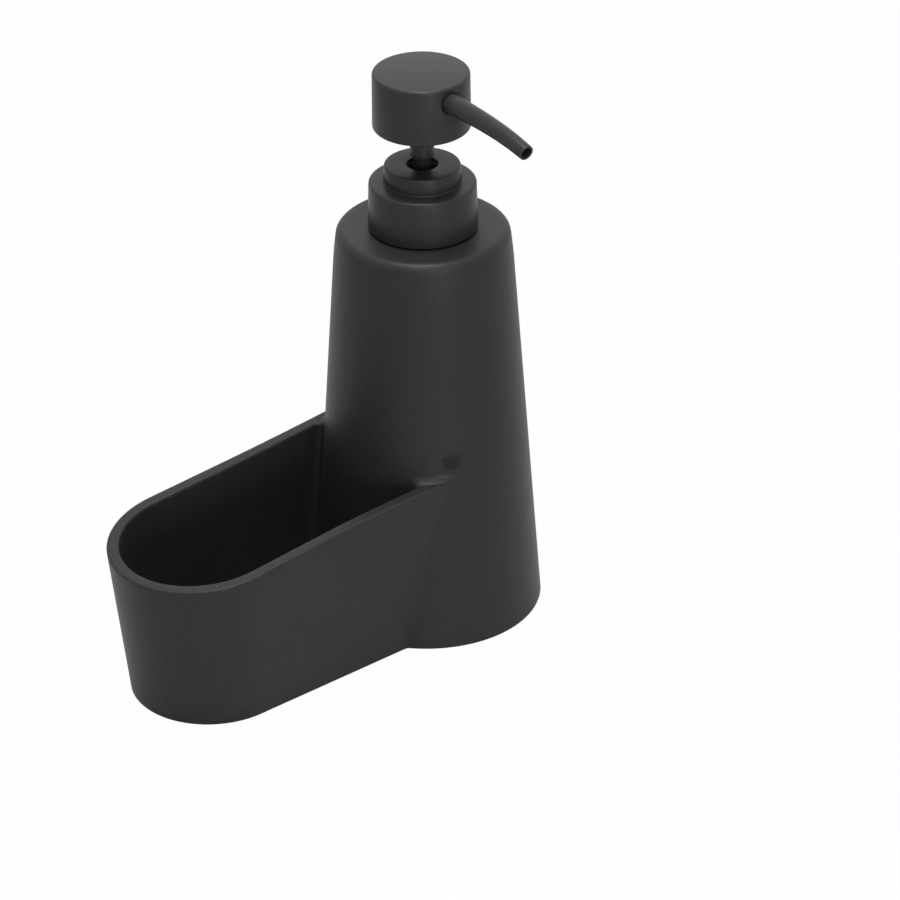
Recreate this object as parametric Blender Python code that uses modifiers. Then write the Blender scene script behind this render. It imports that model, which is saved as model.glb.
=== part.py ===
"""Soap dispenser: a cast bottle with an open caddy beside it, and a lotion pump in the bottle's neck.

The origin is on the bottle's axis, on the surface that the dispenser stands on. +Z points up, the caddy
lies along -X and the spout points along -Y. All lengths are in metres.
"""
import math

import bmesh
import bpy
from mathutils import Matrix, Vector

# Clearances and overruns
FIT_GAP = 0.0003
CUT_OVERRUN = 0.002
MERGE_DISTANCE = 0.000001
EDGE_BREAK = 0.0003

# Bottle
BOTTLE_BASE_RADIUS = 0.0363
BOTTLE_TOP_RADIUS = 0.0270
BOTTLE_HEIGHT = 0.1323
BOTTLE_WALL = 0.0040
BOTTLE_FLOOR = 0.0055
SHOULDER_THICKNESS = 0.0060
SHOULDER_ROUNDING = 0.0034
FOOT_ROUNDING = 0.0005
HOLLOW_ROUNDING = 0.0040

# Caddy
RIM_REACH = 0.08635
RIM_HALF_WIDTH = 0.0290
RIM_END_RADIUS = 0.02955
FOOT_REACH = 0.0853
FOOT_HALF_WIDTH = 0.0236
FOOT_END_RADIUS = 0.0252
RIM_END_HEIGHT = 0.0505
RIM_RISE = 0.0110
CADDY_WALL = 0.0037
CADDY_FLOOR = 0.0050
RIM_ROUNDING = 0.0006
CAVITY_ROUNDING = 0.0030

# Pads under the body
PAD_THICKNESS = 0.0012
PAD_PROUD = 0.0003
BOTTLE_PAD_RADIUS = 0.0270
CADDY_PAD_RADIUS = 0.0165
CADDY_PAD_START = 0.0500

# Neck insert, its thread and the seal on its rim
INSERT_FLANGE_RADIUS = 0.0150
INSERT_FLANGE_THICKNESS = 0.0010
INSERT_PLUG_RADIUS = 0.0130
INSERT_PLUG_DEPTH = 0.0090
NECK_RADIUS = 0.0126
NECK_BORE_RADIUS = 0.0104
THREAD_PITCH = 0.0042
THREAD_START_HEIGHT = 0.0024
GASKET_RADIUS = 0.0121
GASKET_THICKNESS = 0.0010

# Screw cap, and the collar over it
CAP_WALL = 0.0013
CAP_ROOF = 0.0010
CAP_ROUNDING = 0.0006
COLLAR_HEIGHT = 0.0154
COLLAR_TOP_RADIUS = 0.0167
COLLAR_FOOT_RADIUS = 0.0170
COLLAR_WALL = 0.0011
COLLAR_ROOF = 0.0010
COLLAR_ROUNDING = 0.0006
COLLAR_LIP_RADIUS = 0.0123
COLLAR_LIP_HEIGHT = 0.00035

# Small ring on top, and the lock ring under it
RING_TOP_RADIUS = 0.01175
RING_FOOT_RADIUS = 0.0121
RING_HEIGHT = 0.0050
RING_WALL = 0.0010
RING_ROOF = 0.0009
RING_HOLE_RADIUS = 0.0049
RING_ROUNDING = 0.0004
LOCK_ROOF = 0.0010
LOCK_GUIDE_THICKNESS = 0.0008
LOCK_SLEEVE_RADIUS = 0.0058
LOCK_SLEEVE_LENGTH = 0.0046
LOCK_SLEEVE_WALL = 0.0009
WIPER_HEIGHT = 0.0012

# Pump housing
HOUSING_FLANGE_RADIUS = 0.0123
HOUSING_FLANGE_THICKNESS = 0.0012
HOUSING_RADIUS = 0.0082
HOUSING_HEAD_RADIUS = 0.0090
HOUSING_HEAD_WALL = 0.0018
CYLINDER_RADIUS = 0.0062
CYLINDER_LENGTH = 0.0420
SEAT_CONE_HEIGHT = 0.0035
SEAT_RADIUS = 0.0018
SEAT_THICKNESS = 0.0012
SOCKET_DEPTH = 0.0120
SOCKET_WALL = 0.0011
VENT_RADIUS = 0.0006
VENT_DROP = 0.0030

# Inlet valve and dip tube
BALL_RADIUS = 0.0024
CAGE_HEIGHT = 0.0037
CAGE_WALL = 0.0025
CAGE_BAR_WIDTH = 0.0012
CAGE_BAR_HEIGHT = 0.0012
TUBE_RADIUS = 0.0030
TUBE_WALL = 0.0009
TUBE_FLOOR_CLEARANCE = 0.0030
TUBE_SLANT = 0.0030

# Stem, piston and spring
STROKE = 0.0115
STEM_RADIUS = 0.0027
STEM_BORE_RADIUS = 0.0020
STEM_HUB_RADIUS = 0.0037
STEM_HUB_CLEARANCE = 0.0031
STEM_BEAD_RADIUS = 0.00395
STEM_BEAD_HEIGHT = 0.0008
STEM_STOP_RADIUS = 0.0055
STEM_STOP_THICKNESS = 0.0010
STEM_END_GAP = 0.0018
LOST_MOTION = 0.0008
SEAL_HEIGHT = 0.0052
SEAL_SLEEVE_WALL = 0.0007
SEAL_LIP_WALL = 0.0006
SEAL_WEB = 0.0012
ROD_FOOT_RADIUS = 0.0050
ROD_FOOT_THICKNESS = 0.0014
ROD_SHANK_LENGTH = 0.0090
ROD_FLAT_DEPTH = 0.0006
SPRING_RADIUS = 0.0044
SPRING_WIRE_RADIUS = 0.0005

# Pump head
HEAD_RADIUS = 0.0150
HEAD_HEIGHT = 0.0181
HEAD_CLEARANCE = 0.0013
HEAD_WALL = 0.0010
HEAD_ROOF = 0.0012
HEAD_ROUNDING = 0.0010
HEAD_FOOT_ROUNDING = 0.0008
CORE_RECESS = 0.0008
CORE_PLATE = 0.0016
CORE_HUB_RADIUS = 0.0060
CORE_SOCKET_DEPTH = 0.0100
CORE_CHANNEL_RADIUS = 0.0014
CORE_BOSS_WALL = 0.0009
SPOUT_SEAT_DEPTH = 0.0040

# Spout
SPOUT_CENTRE_DROP = 0.0052
SPOUT_REACH = 0.0508
SPOUT_DROOP = 0.0028
SPOUT_ROOT_RADIUS = 0.0032
SPOUT_TIP_RADIUS = 0.0024
SPOUT_SPIGOT_RADIUS = 0.0024
SPOUT_STEP = 0.0004
SPOUT_BORE_ROOT_RADIUS = 0.0017
SPOUT_BORE_TIP_RADIUS = 0.0018
SPOUT_HOLE_GAP = 0.0003

# Counts and angles
BOTTLE_STEPS = 72
SHELL_STEPS = 48
INNER_STEPS = 24
SMALL_STEPS = 16
ROUND_STEPS = 3
END_ARC_STEPS = 20
THREAD_POINTS_PER_TURN = 24
THREAD_POINTS = 30
THREAD_RUN_OUT_POINTS = 4
SPRING_TURNS = 8
SPRING_POINTS_PER_TURN = 10
SPOUT_POINTS = 14
DROOP_POWER = 3
SHARP_ANGLE_DEGREES = 34

# Levels, from the standing surface up
BODY_BASE = PAD_PROUD
BOTTLE_FLOOR_TOP = BODY_BASE + BOTTLE_FLOOR
SHOULDER_UNDERSIDE = BOTTLE_HEIGHT - SHOULDER_THICKNESS
COLLAR_TOP = BOTTLE_HEIGHT + COLLAR_HEIGHT
CAP_TOP = COLLAR_TOP - COLLAR_ROOF - FIT_GAP
FLANGE_TOP = CAP_TOP - CAP_ROOF - FIT_GAP
FLANGE_BOTTOM = FLANGE_TOP - HOUSING_FLANGE_THICKNESS
GASKET_TOP = FLANGE_BOTTOM - FIT_GAP
GASKET_BOTTOM = GASKET_TOP - GASKET_THICKNESS
NECK_TOP = GASKET_BOTTOM - FIT_GAP
INSERT_BASE = BOTTLE_HEIGHT + FIT_GAP
INSERT_FLANGE_TOP = INSERT_BASE + INSERT_FLANGE_THICKNESS
INSERT_BOTTOM = BOTTLE_HEIGHT - INSERT_PLUG_DEPTH
RING_BOTTOM = COLLAR_TOP + COLLAR_LIP_HEIGHT + FIT_GAP
RING_TOP = RING_BOTTOM + RING_HEIGHT
LOCK_TOP = RING_TOP - RING_ROOF - FIT_GAP
LOCK_UNDERSIDE = LOCK_TOP - LOCK_ROOF
HUB_BOTTOM = RING_TOP + STEM_HUB_CLEARANCE
GUIDE_TOP = HUB_BOTTOM - STROKE - FIT_GAP
GUIDE_UNDERSIDE = GUIDE_TOP - LOCK_GUIDE_THICKNESS
HOUSING_TOP = LOCK_UNDERSIDE - FIT_GAP
SLEEVE_BOTTOM = GUIDE_UNDERSIDE - LOCK_SLEEVE_LENGTH
STOP_TOP = SLEEVE_BOTTOM - FIT_GAP
STOP_BOTTOM = STOP_TOP - STEM_STOP_THICKNESS
SEAL_TOP = STOP_BOTTOM - LOST_MOTION
SEAL_BOTTOM = SEAL_TOP - SEAL_HEIGHT
FOOT_TOP = SEAL_BOTTOM - FIT_GAP
FOOT_BOTTOM = FOOT_TOP - ROD_FOOT_THICKNESS
CYLINDER_FLOOR = FLANGE_BOTTOM - CYLINDER_LENGTH
SEAT_TOP = CYLINDER_FLOOR - SEAT_CONE_HEIGHT
SOCKET_ROOF = SEAT_TOP - SEAT_THICKNESS
SOCKET_BOTTOM = SOCKET_ROOF - SOCKET_DEPTH
CAGE_TOP = CYLINDER_FLOOR + CAGE_HEIGHT
TUBE_TOP = SOCKET_ROOF - FIT_GAP
TUBE_BOTTOM = BOTTLE_FLOOR_TOP + TUBE_FLOOR_CLEARANCE
HEAD_BOTTOM = RING_TOP + STROKE + HEAD_CLEARANCE
HEAD_TOP = HEAD_BOTTOM + HEAD_HEIGHT
CORE_BOTTOM = HEAD_BOTTOM + CORE_RECESS
CORE_TOP = HEAD_TOP - HEAD_ROOF - FIT_GAP
CORE_SOCKET_TOP = CORE_BOTTOM + CORE_SOCKET_DEPTH
STEM_TOP = CORE_SOCKET_TOP - FIT_GAP
STEM_BOTTOM = FOOT_TOP + STEM_END_GAP
SPOUT_HEIGHT = HEAD_TOP - SPOUT_CENTRE_DROP

# Radii that fit round one another
COLLAR_BORE = COLLAR_TOP_RADIUS - COLLAR_WALL
CAP_RADIUS = COLLAR_BORE - FIT_GAP
CAP_BORE = CAP_RADIUS - CAP_WALL
THREAD_RIDGE_HEIGHT = CAP_BORE - FIT_GAP - NECK_RADIUS
INSERT_HOLE_RADIUS = INSERT_PLUG_RADIUS + FIT_GAP
HEAD_TUBE_HOLE = HOUSING_HEAD_RADIUS + FIT_GAP
HOUSING_HEAD_BORE = HOUSING_HEAD_RADIUS - HOUSING_HEAD_WALL
LOCK_RADIUS = RING_TOP_RADIUS - RING_WALL - FIT_GAP
STEM_GUIDE_RADIUS = STEM_RADIUS + FIT_GAP
SLEEVE_BORE = LOCK_SLEEVE_RADIUS - LOCK_SLEEVE_WALL
SOCKET_BORE = TUBE_RADIUS + FIT_GAP
HEAD_BORE = HEAD_RADIUS - HEAD_WALL
CORE_RADIUS = HEAD_BORE - FIT_GAP
CORE_SOCKET_BORE = STEM_HUB_RADIUS + FIT_GAP
BOSS_BORE = SPOUT_SPIGOT_RADIUS + FIT_GAP
BOSS_RADIUS = BOSS_BORE + CORE_BOSS_WALL
BOSS_END = math.sqrt(CORE_RADIUS**2 - BOSS_RADIUS**2)
SPOUT_SEAT = BOSS_END - SPOUT_SEAT_DEPTH

# The lean of the bottle's side, and the far end of the caddy's rim
LEAN = math.atan2(BOTTLE_BASE_RADIUS - BOTTLE_TOP_RADIUS, BOTTLE_HEIGHT)
RIM_TIP = RIM_REACH + RIM_END_RADIUS

# Finishes: colour, roughness and metallic value
MATT_BLACK = ((0.036, 0.036, 0.038), 0.55, 0)
WHITE_PLASTIC = ((0.78, 0.78, 0.76), 0.45, 0)
CLEAR_PLASTIC = ((0.68, 0.70, 0.70), 0.30, 0)
SOFT_RUBBER = ((0.10, 0.10, 0.10), 0.80, 0)
BRIGHT_STEEL = ((0.60, 0.60, 0.58), 0.25, 1)


def new_collection(name):
    """A collection under the scene's own."""
    collection = bpy.data.collections.new(name)
    bpy.context.scene.collection.children.link(collection)
    return collection


for leftover in list(bpy.data.objects):
    bpy.data.objects.remove(leftover, do_unlink=True)
PIECES = new_collection("soap_dispenser")
CUTTERS = new_collection("cutters")


def add_object(name, data, collection):
    """An object for a mesh or a curve, in its collection; helpers are kept out of renders."""
    obj = bpy.data.objects.new(name, data)
    collection.objects.link(obj)
    if collection is CUTTERS:
        obj.hide_render = True
        obj.display_type = "WIRE"
    return obj


def settle(obj):
    """Turn an object's curve or modifiers into one plain mesh, merged and shaded round."""
    bpy.context.view_layer.update()
    evaluated = obj.evaluated_get(bpy.context.evaluated_depsgraph_get())
    mesh = bpy.data.meshes.new_from_object(evaluated)
    name = obj.name
    collection = obj.users_collection[0]
    place = obj.matrix_world.copy()
    bpy.data.objects.remove(obj, do_unlink=True)
    mesh.name = name
    shape = bmesh.new()
    shape.from_mesh(mesh)
    bmesh.ops.remove_doubles(shape, verts=shape.verts, dist=MERGE_DISTANCE)
    shape.to_mesh(mesh)
    shape.free()
    mesh.shade_smooth()
    mesh.set_sharp_from_angle(angle=math.radians(SHARP_ANGLE_DEGREES))
    settled = add_object(name, mesh, collection)
    settled.matrix_world = place
    return settled


def turned(name, profile, steps, collection=PIECES):
    """A turned solid: (radius, height) points down the outer side, closed where they leave the axis."""
    mesh = bpy.data.meshes.new(name)
    last = len(profile) - 1
    edges = [(point, point + 1) for point in range(last)]
    if profile[0][0] > 0:
        edges.append((last, 0))
    mesh.from_pydata([(radius, 0, height) for radius, height in profile], edges, [])
    obj = add_object(name, mesh, collection)
    screw = obj.modifiers.new("turn", "SCREW")
    screw.steps = steps
    screw.render_steps = steps
    screw.use_merge_vertices = True
    screw.merge_threshold = MERGE_DISTANCE
    return settle(obj)


def loft(name, rings, collection=PIECES):
    """A closed solid through rings of equal counts of points, with flat ends."""
    shape = bmesh.new()
    rows = [[shape.verts.new(point) for point in ring] for ring in rings]
    count = len(rows[0])
    for lower, upper in zip(rows, rows[1:]):
        for index in range(count):
            follower = (index + 1) % count
            shape.faces.new((lower[index], lower[follower], upper[follower], upper[index]))
    shape.faces.new(reversed(rows[0]))
    shape.faces.new(rows[-1])
    bmesh.ops.recalc_face_normals(shape, faces=shape.faces)
    mesh = bpy.data.meshes.new(name)
    shape.to_mesh(mesh)
    shape.free()
    return settle(add_object(name, mesh, collection))


def slab(name, outline, bottom, top, collection=PIECES):
    """A flat plate from a plan outline, between two levels."""
    curve = bpy.data.curves.new(name, "CURVE")
    curve.dimensions = "2D"
    curve.fill_mode = "BOTH"
    curve.extrude = (top - bottom) / 2
    spline = curve.splines.new("POLY")
    spline.points.add(len(outline) - 1)
    for point, (x, y) in zip(spline.points, outline):
        point.co = (x, y, 0, 1)
    spline.use_cyclic_u = True
    obj = add_object(name, curve, collection)
    obj.location.z = (top + bottom) / 2
    return settle(obj)


def tube(name, path, radii, resolution, collection=PIECES):
    """A round solid along a path, with a radius at each point and filled ends."""
    curve = bpy.data.curves.new(name, "CURVE")
    curve.dimensions = "3D"
    curve.bevel_depth = max(radii)
    curve.bevel_resolution = resolution
    curve.use_fill_caps = True
    spline = curve.splines.new("POLY")
    spline.points.add(len(path) - 1)
    for point, place, radius in zip(spline.points, path, radii):
        point.co = (*place, 1)
        point.radius = radius / curve.bevel_depth
    return settle(add_object(name, curve, collection))


def rod(name, radius, start, end, steps, collection=CUTTERS):
    """A plain cylinder between two points."""
    start = Vector(start)
    end = Vector(end)
    mesh = bpy.data.meshes.new(name)
    shape = bmesh.new()
    bmesh.ops.create_cone(
        shape, cap_ends=True, segments=steps, radius1=radius, radius2=radius, depth=(end - start).length
    )
    shape.to_mesh(mesh)
    shape.free()
    obj = add_object(name, mesh, collection)
    turn = (end - start).to_track_quat("Z", "Y").to_matrix().to_4x4()
    obj.matrix_world = Matrix.Translation((start + end) / 2) @ turn
    return obj


def block(name, low, high, collection=CUTTERS):
    """A box between two corners."""
    low = Vector(low)
    high = Vector(high)
    mesh = bpy.data.meshes.new(name)
    shape = bmesh.new()
    bmesh.ops.create_cube(shape, size=1)
    bmesh.ops.transform(shape, matrix=Matrix.Diagonal((*(high - low), 1)), verts=shape.verts)
    shape.to_mesh(mesh)
    shape.free()
    obj = add_object(name, mesh, collection)
    obj.location = (low + high) / 2
    return obj


def combine(piece, helper, operation):
    """Join a helper to a piece, or cut it out of the piece."""
    modifier = piece.modifiers.new(helper.name, "BOOLEAN")
    modifier.operation = operation
    modifier.solver = "EXACT"
    modifier.object = helper


def rounding(radius, steps=ROUND_STEPS):
    """(inset, rise) pairs of a quarter round, from its flat end to its upright end."""
    angles = [math.pi / 2 * step / steps for step in range(steps + 1)]
    return [(radius * (1 - math.sin(angle)), radius * (1 - math.cos(angle))) for angle in angles]


def cup_profile(top, bottom, radius, wall, roof, hole, top_round, foot_radius=None, lip=()):
    """A cup that opens downwards, with a hole in its roof; lip holds the points of a raised lip."""
    foot_radius = foot_radius or radius
    profile = list(lip) or [(hole, top)]
    profile += [(radius - inset, top - drop) for inset, drop in rounding(top_round)]
    profile += [(foot_radius - inset, bottom + rise) for inset, rise in reversed(rounding(EDGE_BREAK, 1))]
    profile += [(foot_radius - wall, bottom), (radius - wall, top - roof), (hole, top - roof)]
    return profile


# Body: the bottle and the caddy are one casting
def cone_profile(inset, bottom, top, bottom_round, top_round):
    """The bottle's side from the top down, set in by a wall and rounded at both ends, without its flats."""
    distance = BOTTLE_BASE_RADIUS * math.cos(LEAN) - inset

    def corner(level, radius, first, last):
        centre = (distance - radius - level * math.sin(LEAN)) / math.cos(LEAN)
        angles = [first + (last - first) * step / ROUND_STEPS for step in range(ROUND_STEPS + 1)]
        return [(centre + radius * math.cos(a), level + radius * math.sin(a)) for a in angles]

    shoulder = corner(top - top_round, top_round, math.pi / 2, LEAN)
    foot = corner(bottom + bottom_round, bottom_round, LEAN, -math.pi / 2)
    return shoulder + foot


def rim_level(x):
    """The height of the caddy's rim, which rises evenly from its round end to the bottle."""
    return RIM_END_HEIGHT + RIM_RISE * (x + RIM_TIP) / RIM_TIP


def stadium(far_reach, far_radius, near_reach, near_radius):
    """A plan outline with two round ends, whose centres lie on -X at the two reaches."""
    outline = []
    for reach, radius, start in ((far_reach, far_radius, 1), (near_reach, near_radius, 3)):
        for step in range(END_ARC_STEPS + 1):
            angle = math.pi / 2 * start + math.pi * step / END_ARC_STEPS
            outline.append((-reach + radius * math.cos(angle), radius * math.sin(angle)))
    return outline


def caddy_ring(inset, level=None, depth=None):
    """The caddy's wall at a level above the ground or at a depth below its rim, set in by an inset."""
    rim = stadium(RIM_REACH, RIM_END_RADIUS - inset, 0, RIM_HALF_WIDTH - inset)
    foot = stadium(FOOT_REACH, FOOT_END_RADIUS - inset, 0, FOOT_HALF_WIDTH - inset)
    ring = []
    for (rim_x, rim_y), (foot_x, foot_y) in zip(rim, foot):
        top = rim_level(rim_x)
        height = level if depth is None else top - depth
        climb = (height - BODY_BASE) / (top - BODY_BASE)
        ring.append((foot_x + (rim_x - foot_x) * climb, foot_y + (rim_y - foot_y) * climb, height))
    return ring


def pad_outlines(margin):
    """The plan of each pad, or of its recess when a margin is given."""
    bottle = BOTTLE_PAD_RADIUS + margin
    caddy = CADDY_PAD_RADIUS + margin
    return {
        "bottle_pad": [
            (bottle * math.cos(angle), bottle * math.sin(angle))
            for angle in (2 * math.pi * step / SHELL_STEPS for step in range(SHELL_STEPS))
        ],
        "caddy_pad": stadium(FOOT_REACH, caddy, CADDY_PAD_START, caddy),
    }


def make_body():
    """The cast body: caddy shell and bottle joined, then hollowed, with recesses for the pads."""
    outside = [caddy_ring(inset, level=BODY_BASE + rise) for inset, rise in rounding(FOOT_ROUNDING)]
    outside += [caddy_ring(inset, depth=drop) for inset, drop in reversed(rounding(RIM_ROUNDING))]
    body = loft("body_shell", outside)

    floor = BODY_BASE + CADDY_FLOOR
    wall = CADDY_WALL
    inside = [caddy_ring(wall + inset, level=floor + rise) for inset, rise in rounding(CAVITY_ROUNDING)]
    inside += [caddy_ring(wall - inset, depth=drop) for inset, drop in reversed(rounding(RIM_ROUNDING))]
    inside.append(caddy_ring(wall - RIM_ROUNDING, depth=-CUT_OVERRUN))
    combine(body, loft("caddy_hollow", inside, CUTTERS), "DIFFERENCE")

    side = cone_profile(0, BODY_BASE, BOTTLE_HEIGHT, FOOT_ROUNDING, SHOULDER_ROUNDING)
    solid = [(0, BOTTLE_HEIGHT)] + side + [(0, BODY_BASE)]
    combine(body, turned("bottle_outside", solid, BOTTLE_STEPS, CUTTERS), "UNION")

    side = cone_profile(BOTTLE_WALL, BOTTLE_FLOOR_TOP, SHOULDER_UNDERSIDE, HOLLOW_ROUNDING, HOLLOW_ROUNDING)
    mouth = BOTTLE_HEIGHT + CUT_OVERRUN
    hollow = [(0, mouth), (INSERT_HOLE_RADIUS, mouth), (INSERT_HOLE_RADIUS, SHOULDER_UNDERSIDE)]
    hollow += side + [(0, BOTTLE_FLOOR_TOP)]
    combine(body, turned("bottle_hollow", hollow, BOTTLE_STEPS, CUTTERS), "DIFFERENCE")

    for name, outline in pad_outlines(FIT_GAP).items():
        recess = slab(name + "_recess", outline, BODY_BASE - CUT_OVERRUN, PAD_THICKNESS + FIT_GAP, CUTTERS)
        combine(body, recess, "DIFFERENCE")
    return settle(body)


def make_pads():
    """The two soft pads that the body stands on."""
    return [slab(name, outline, 0, PAD_THICKNESS) for name, outline in pad_outlines(0).items()]


# Neck: the threaded insert in the bottle's mouth, its seal, the screw cap and the collar over it
def make_insert():
    """The threaded neck that is glued into the bottle's mouth."""
    profile = [
        (NECK_BORE_RADIUS, NECK_TOP),
        (NECK_RADIUS - EDGE_BREAK, NECK_TOP),
        (NECK_RADIUS, NECK_TOP - EDGE_BREAK),
        (NECK_RADIUS, INSERT_FLANGE_TOP),
        (INSERT_FLANGE_RADIUS, INSERT_FLANGE_TOP),
        (INSERT_FLANGE_RADIUS, INSERT_BASE),
        (INSERT_PLUG_RADIUS, INSERT_BASE),
        (INSERT_PLUG_RADIUS, INSERT_BOTTOM + EDGE_BREAK),
        (INSERT_PLUG_RADIUS - EDGE_BREAK, INSERT_BOTTOM),
        (NECK_BORE_RADIUS, INSERT_BOTTOM),
    ]
    insert = turned("neck_insert", profile, SHELL_STEPS)
    path = []
    radii = []
    for index in range(THREAD_POINTS + 1):
        turn = index / THREAD_POINTS_PER_TURN
        angle = 2 * math.pi * turn
        height = INSERT_FLANGE_TOP + THREAD_START_HEIGHT + THREAD_PITCH * turn
        path.append((NECK_RADIUS * math.cos(angle), NECK_RADIUS * math.sin(angle), height))
        run_out = min(index + 1, THREAD_POINTS + 1 - index, THREAD_RUN_OUT_POINTS) / THREAD_RUN_OUT_POINTS
        radii.append(THREAD_RIDGE_HEIGHT * run_out)
    combine(insert, tube("neck_thread", path, radii, 1, CUTTERS), "UNION")
    return settle(insert)


def make_gasket():
    """The flat seal between the neck's rim and the pump's flange."""
    bore = HOUSING_RADIUS + FIT_GAP
    profile = [
        (bore, GASKET_TOP),
        (GASKET_RADIUS, GASKET_TOP),
        (GASKET_RADIUS, GASKET_BOTTOM),
        (bore, GASKET_BOTTOM),
    ]
    return turned("housing_gasket", profile, INNER_STEPS)


def make_cap():
    """The screw cap that clamps the pump's flange on the neck."""
    bottom = INSERT_FLANGE_TOP + FIT_GAP
    profile = cup_profile(CAP_TOP, bottom, CAP_RADIUS, CAP_WALL, CAP_ROOF, HEAD_TUBE_HOLE, CAP_ROUNDING)
    return turned("closure_cap", profile, SHELL_STEPS)


def make_collar():
    """The black cover over the screw cap, a little wider at its foot, with a thin lip round its hole."""
    bottom = BOTTLE_HEIGHT + FIT_GAP
    lip_top = COLLAR_TOP + COLLAR_LIP_HEIGHT
    lip = [(HEAD_TUBE_HOLE, lip_top), (COLLAR_LIP_RADIUS, lip_top), (COLLAR_LIP_RADIUS, COLLAR_TOP)]
    profile = cup_profile(
        COLLAR_TOP, bottom, COLLAR_TOP_RADIUS, COLLAR_WALL, COLLAR_ROOF, HEAD_TUBE_HOLE,
        COLLAR_ROUNDING, COLLAR_FOOT_RADIUS, lip,
    )
    return turned("collar_cover", profile, SHELL_STEPS)


# Pump: what stays with the housing
def make_ring():
    """The small black ring that hides the lock ring, a little wider at its foot."""
    profile = cup_profile(
        RING_TOP, RING_BOTTOM, RING_TOP_RADIUS, RING_WALL, RING_ROOF, RING_HOLE_RADIUS,
        RING_ROUNDING, RING_FOOT_RADIUS,
    )
    return turned("upper_ring", profile, SHELL_STEPS)


def make_lock_ring():
    """The ring that closes the housing, guides the stem and stops it at the top of its stroke."""
    skirt_bottom = RING_BOTTOM + FIT_GAP
    profile = [
        (STEM_GUIDE_RADIUS, GUIDE_TOP),
        (SLEEVE_BORE, GUIDE_TOP),
        (SLEEVE_BORE, LOCK_TOP),
        (LOCK_RADIUS, LOCK_TOP),
        (LOCK_RADIUS, skirt_bottom),
        (HEAD_TUBE_HOLE, skirt_bottom),
        (HEAD_TUBE_HOLE, LOCK_UNDERSIDE),
        (LOCK_SLEEVE_RADIUS, LOCK_UNDERSIDE),
        (LOCK_SLEEVE_RADIUS, SLEEVE_BOTTOM),
        (SLEEVE_BORE, SLEEVE_BOTTOM),
        (SLEEVE_BORE, GUIDE_UNDERSIDE),
        (STEM_GUIDE_RADIUS, GUIDE_UNDERSIDE),
    ]
    return turned("lock_ring", profile, INNER_STEPS)


def make_wiper():
    """The soft ring under the guide that wipes the stem."""
    top = GUIDE_UNDERSIDE - FIT_GAP
    bottom = top - WIPER_HEIGHT
    outside = SLEEVE_BORE - FIT_GAP
    profile = [(STEM_GUIDE_RADIUS, top), (outside, top), (outside, bottom), (STEM_GUIDE_RADIUS, bottom)]
    return turned("stem_wiper", profile, INNER_STEPS)


def make_housing():
    """The pump's cylinder, with its flange, the seat of its inlet valve and the dip tube's socket."""
    socket_radius = SOCKET_BORE + SOCKET_WALL
    profile = [
        (HOUSING_HEAD_BORE, HOUSING_TOP),
        (HOUSING_HEAD_RADIUS, HOUSING_TOP),
        (HOUSING_HEAD_RADIUS, FLANGE_TOP),
        (HOUSING_FLANGE_RADIUS, FLANGE_TOP),
        (HOUSING_FLANGE_RADIUS, FLANGE_BOTTOM),
        (HOUSING_RADIUS, FLANGE_BOTTOM),
        (HOUSING_RADIUS, CYLINDER_FLOOR),
        (socket_radius, SEAT_TOP),
        (socket_radius, SOCKET_BOTTOM),
        (SOCKET_BORE, SOCKET_BOTTOM),
        (SOCKET_BORE, SOCKET_ROOF),
        (SEAT_RADIUS, SOCKET_ROOF),
        (SEAT_RADIUS, SEAT_TOP),
        (CYLINDER_RADIUS, CYLINDER_FLOOR),
        (CYLINDER_RADIUS, FLANGE_BOTTOM),
        (HOUSING_HEAD_BORE, FLANGE_TOP),
    ]
    housing = turned("pump_housing", profile, INNER_STEPS)
    level = FLANGE_BOTTOM - VENT_DROP
    outside = HOUSING_RADIUS + CUT_OVERRUN
    vent = rod("vent_hole", VENT_RADIUS, (0, 0, level), (outside, 0, level), SMALL_STEPS)
    combine(housing, vent, "DIFFERENCE")
    return settle(housing)


def make_ball():
    """The ball of the inlet valve, just over the edge of its seat."""
    mesh = bpy.data.meshes.new("ball_valve")
    shape = bmesh.new()
    bmesh.ops.create_uvsphere(
        shape, u_segments=SMALL_STEPS, v_segments=SMALL_STEPS // 2, radius=BALL_RADIUS
    )
    shape.to_mesh(mesh)
    shape.free()
    ball = add_object("ball_valve", mesh, PIECES)
    ball.location.z = SEAT_TOP + math.sqrt((BALL_RADIUS + FIT_GAP) ** 2 - SEAT_RADIUS**2)
    return settle(ball)


def make_cage():
    """The cage that keeps the ball near its seat and carries the spring."""
    outside = CYLINDER_RADIUS - FIT_GAP
    inside = outside - CAGE_WALL
    profile = [(inside, CAGE_TOP), (outside, CAGE_TOP), (outside, CYLINDER_FLOOR), (inside, CYLINDER_FLOOR)]
    cage = turned("ball_cage", profile, INNER_STEPS)
    top = CAGE_TOP - FIT_GAP
    bottom = top - CAGE_BAR_HEIGHT
    reach = inside + CAGE_WALL / 2
    half = CAGE_BAR_WIDTH / 2
    combine(cage, block("cage_bar_x", (-reach, -half, bottom), (reach, half, top)), "UNION")
    combine(cage, block("cage_bar_y", (-half, -reach, bottom), (half, reach, top)), "UNION")
    return settle(cage)


def make_spring():
    """The return spring, wound with a closed turn at each end."""
    low = CAGE_TOP + FIT_GAP + SPRING_WIRE_RADIUS
    high = FOOT_BOTTOM - FIT_GAP - SPRING_WIRE_RADIUS
    end_pitch = 2 * SPRING_WIRE_RADIUS + FIT_GAP
    pitch = (high - low - 2 * end_pitch) / (SPRING_TURNS - 2)
    path = []
    for index in range(SPRING_TURNS * SPRING_POINTS_PER_TURN + 1):
        turn = index / SPRING_POINTS_PER_TURN
        middle = min(max(turn - 1, 0), SPRING_TURNS - 2)
        angle = 2 * math.pi * turn
        height = low + middle * pitch + (turn - middle) * end_pitch
        path.append((SPRING_RADIUS * math.cos(angle), SPRING_RADIUS * math.sin(angle), height))
    return tube("return_spring", path, [SPRING_WIRE_RADIUS] * len(path), 1)


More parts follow.
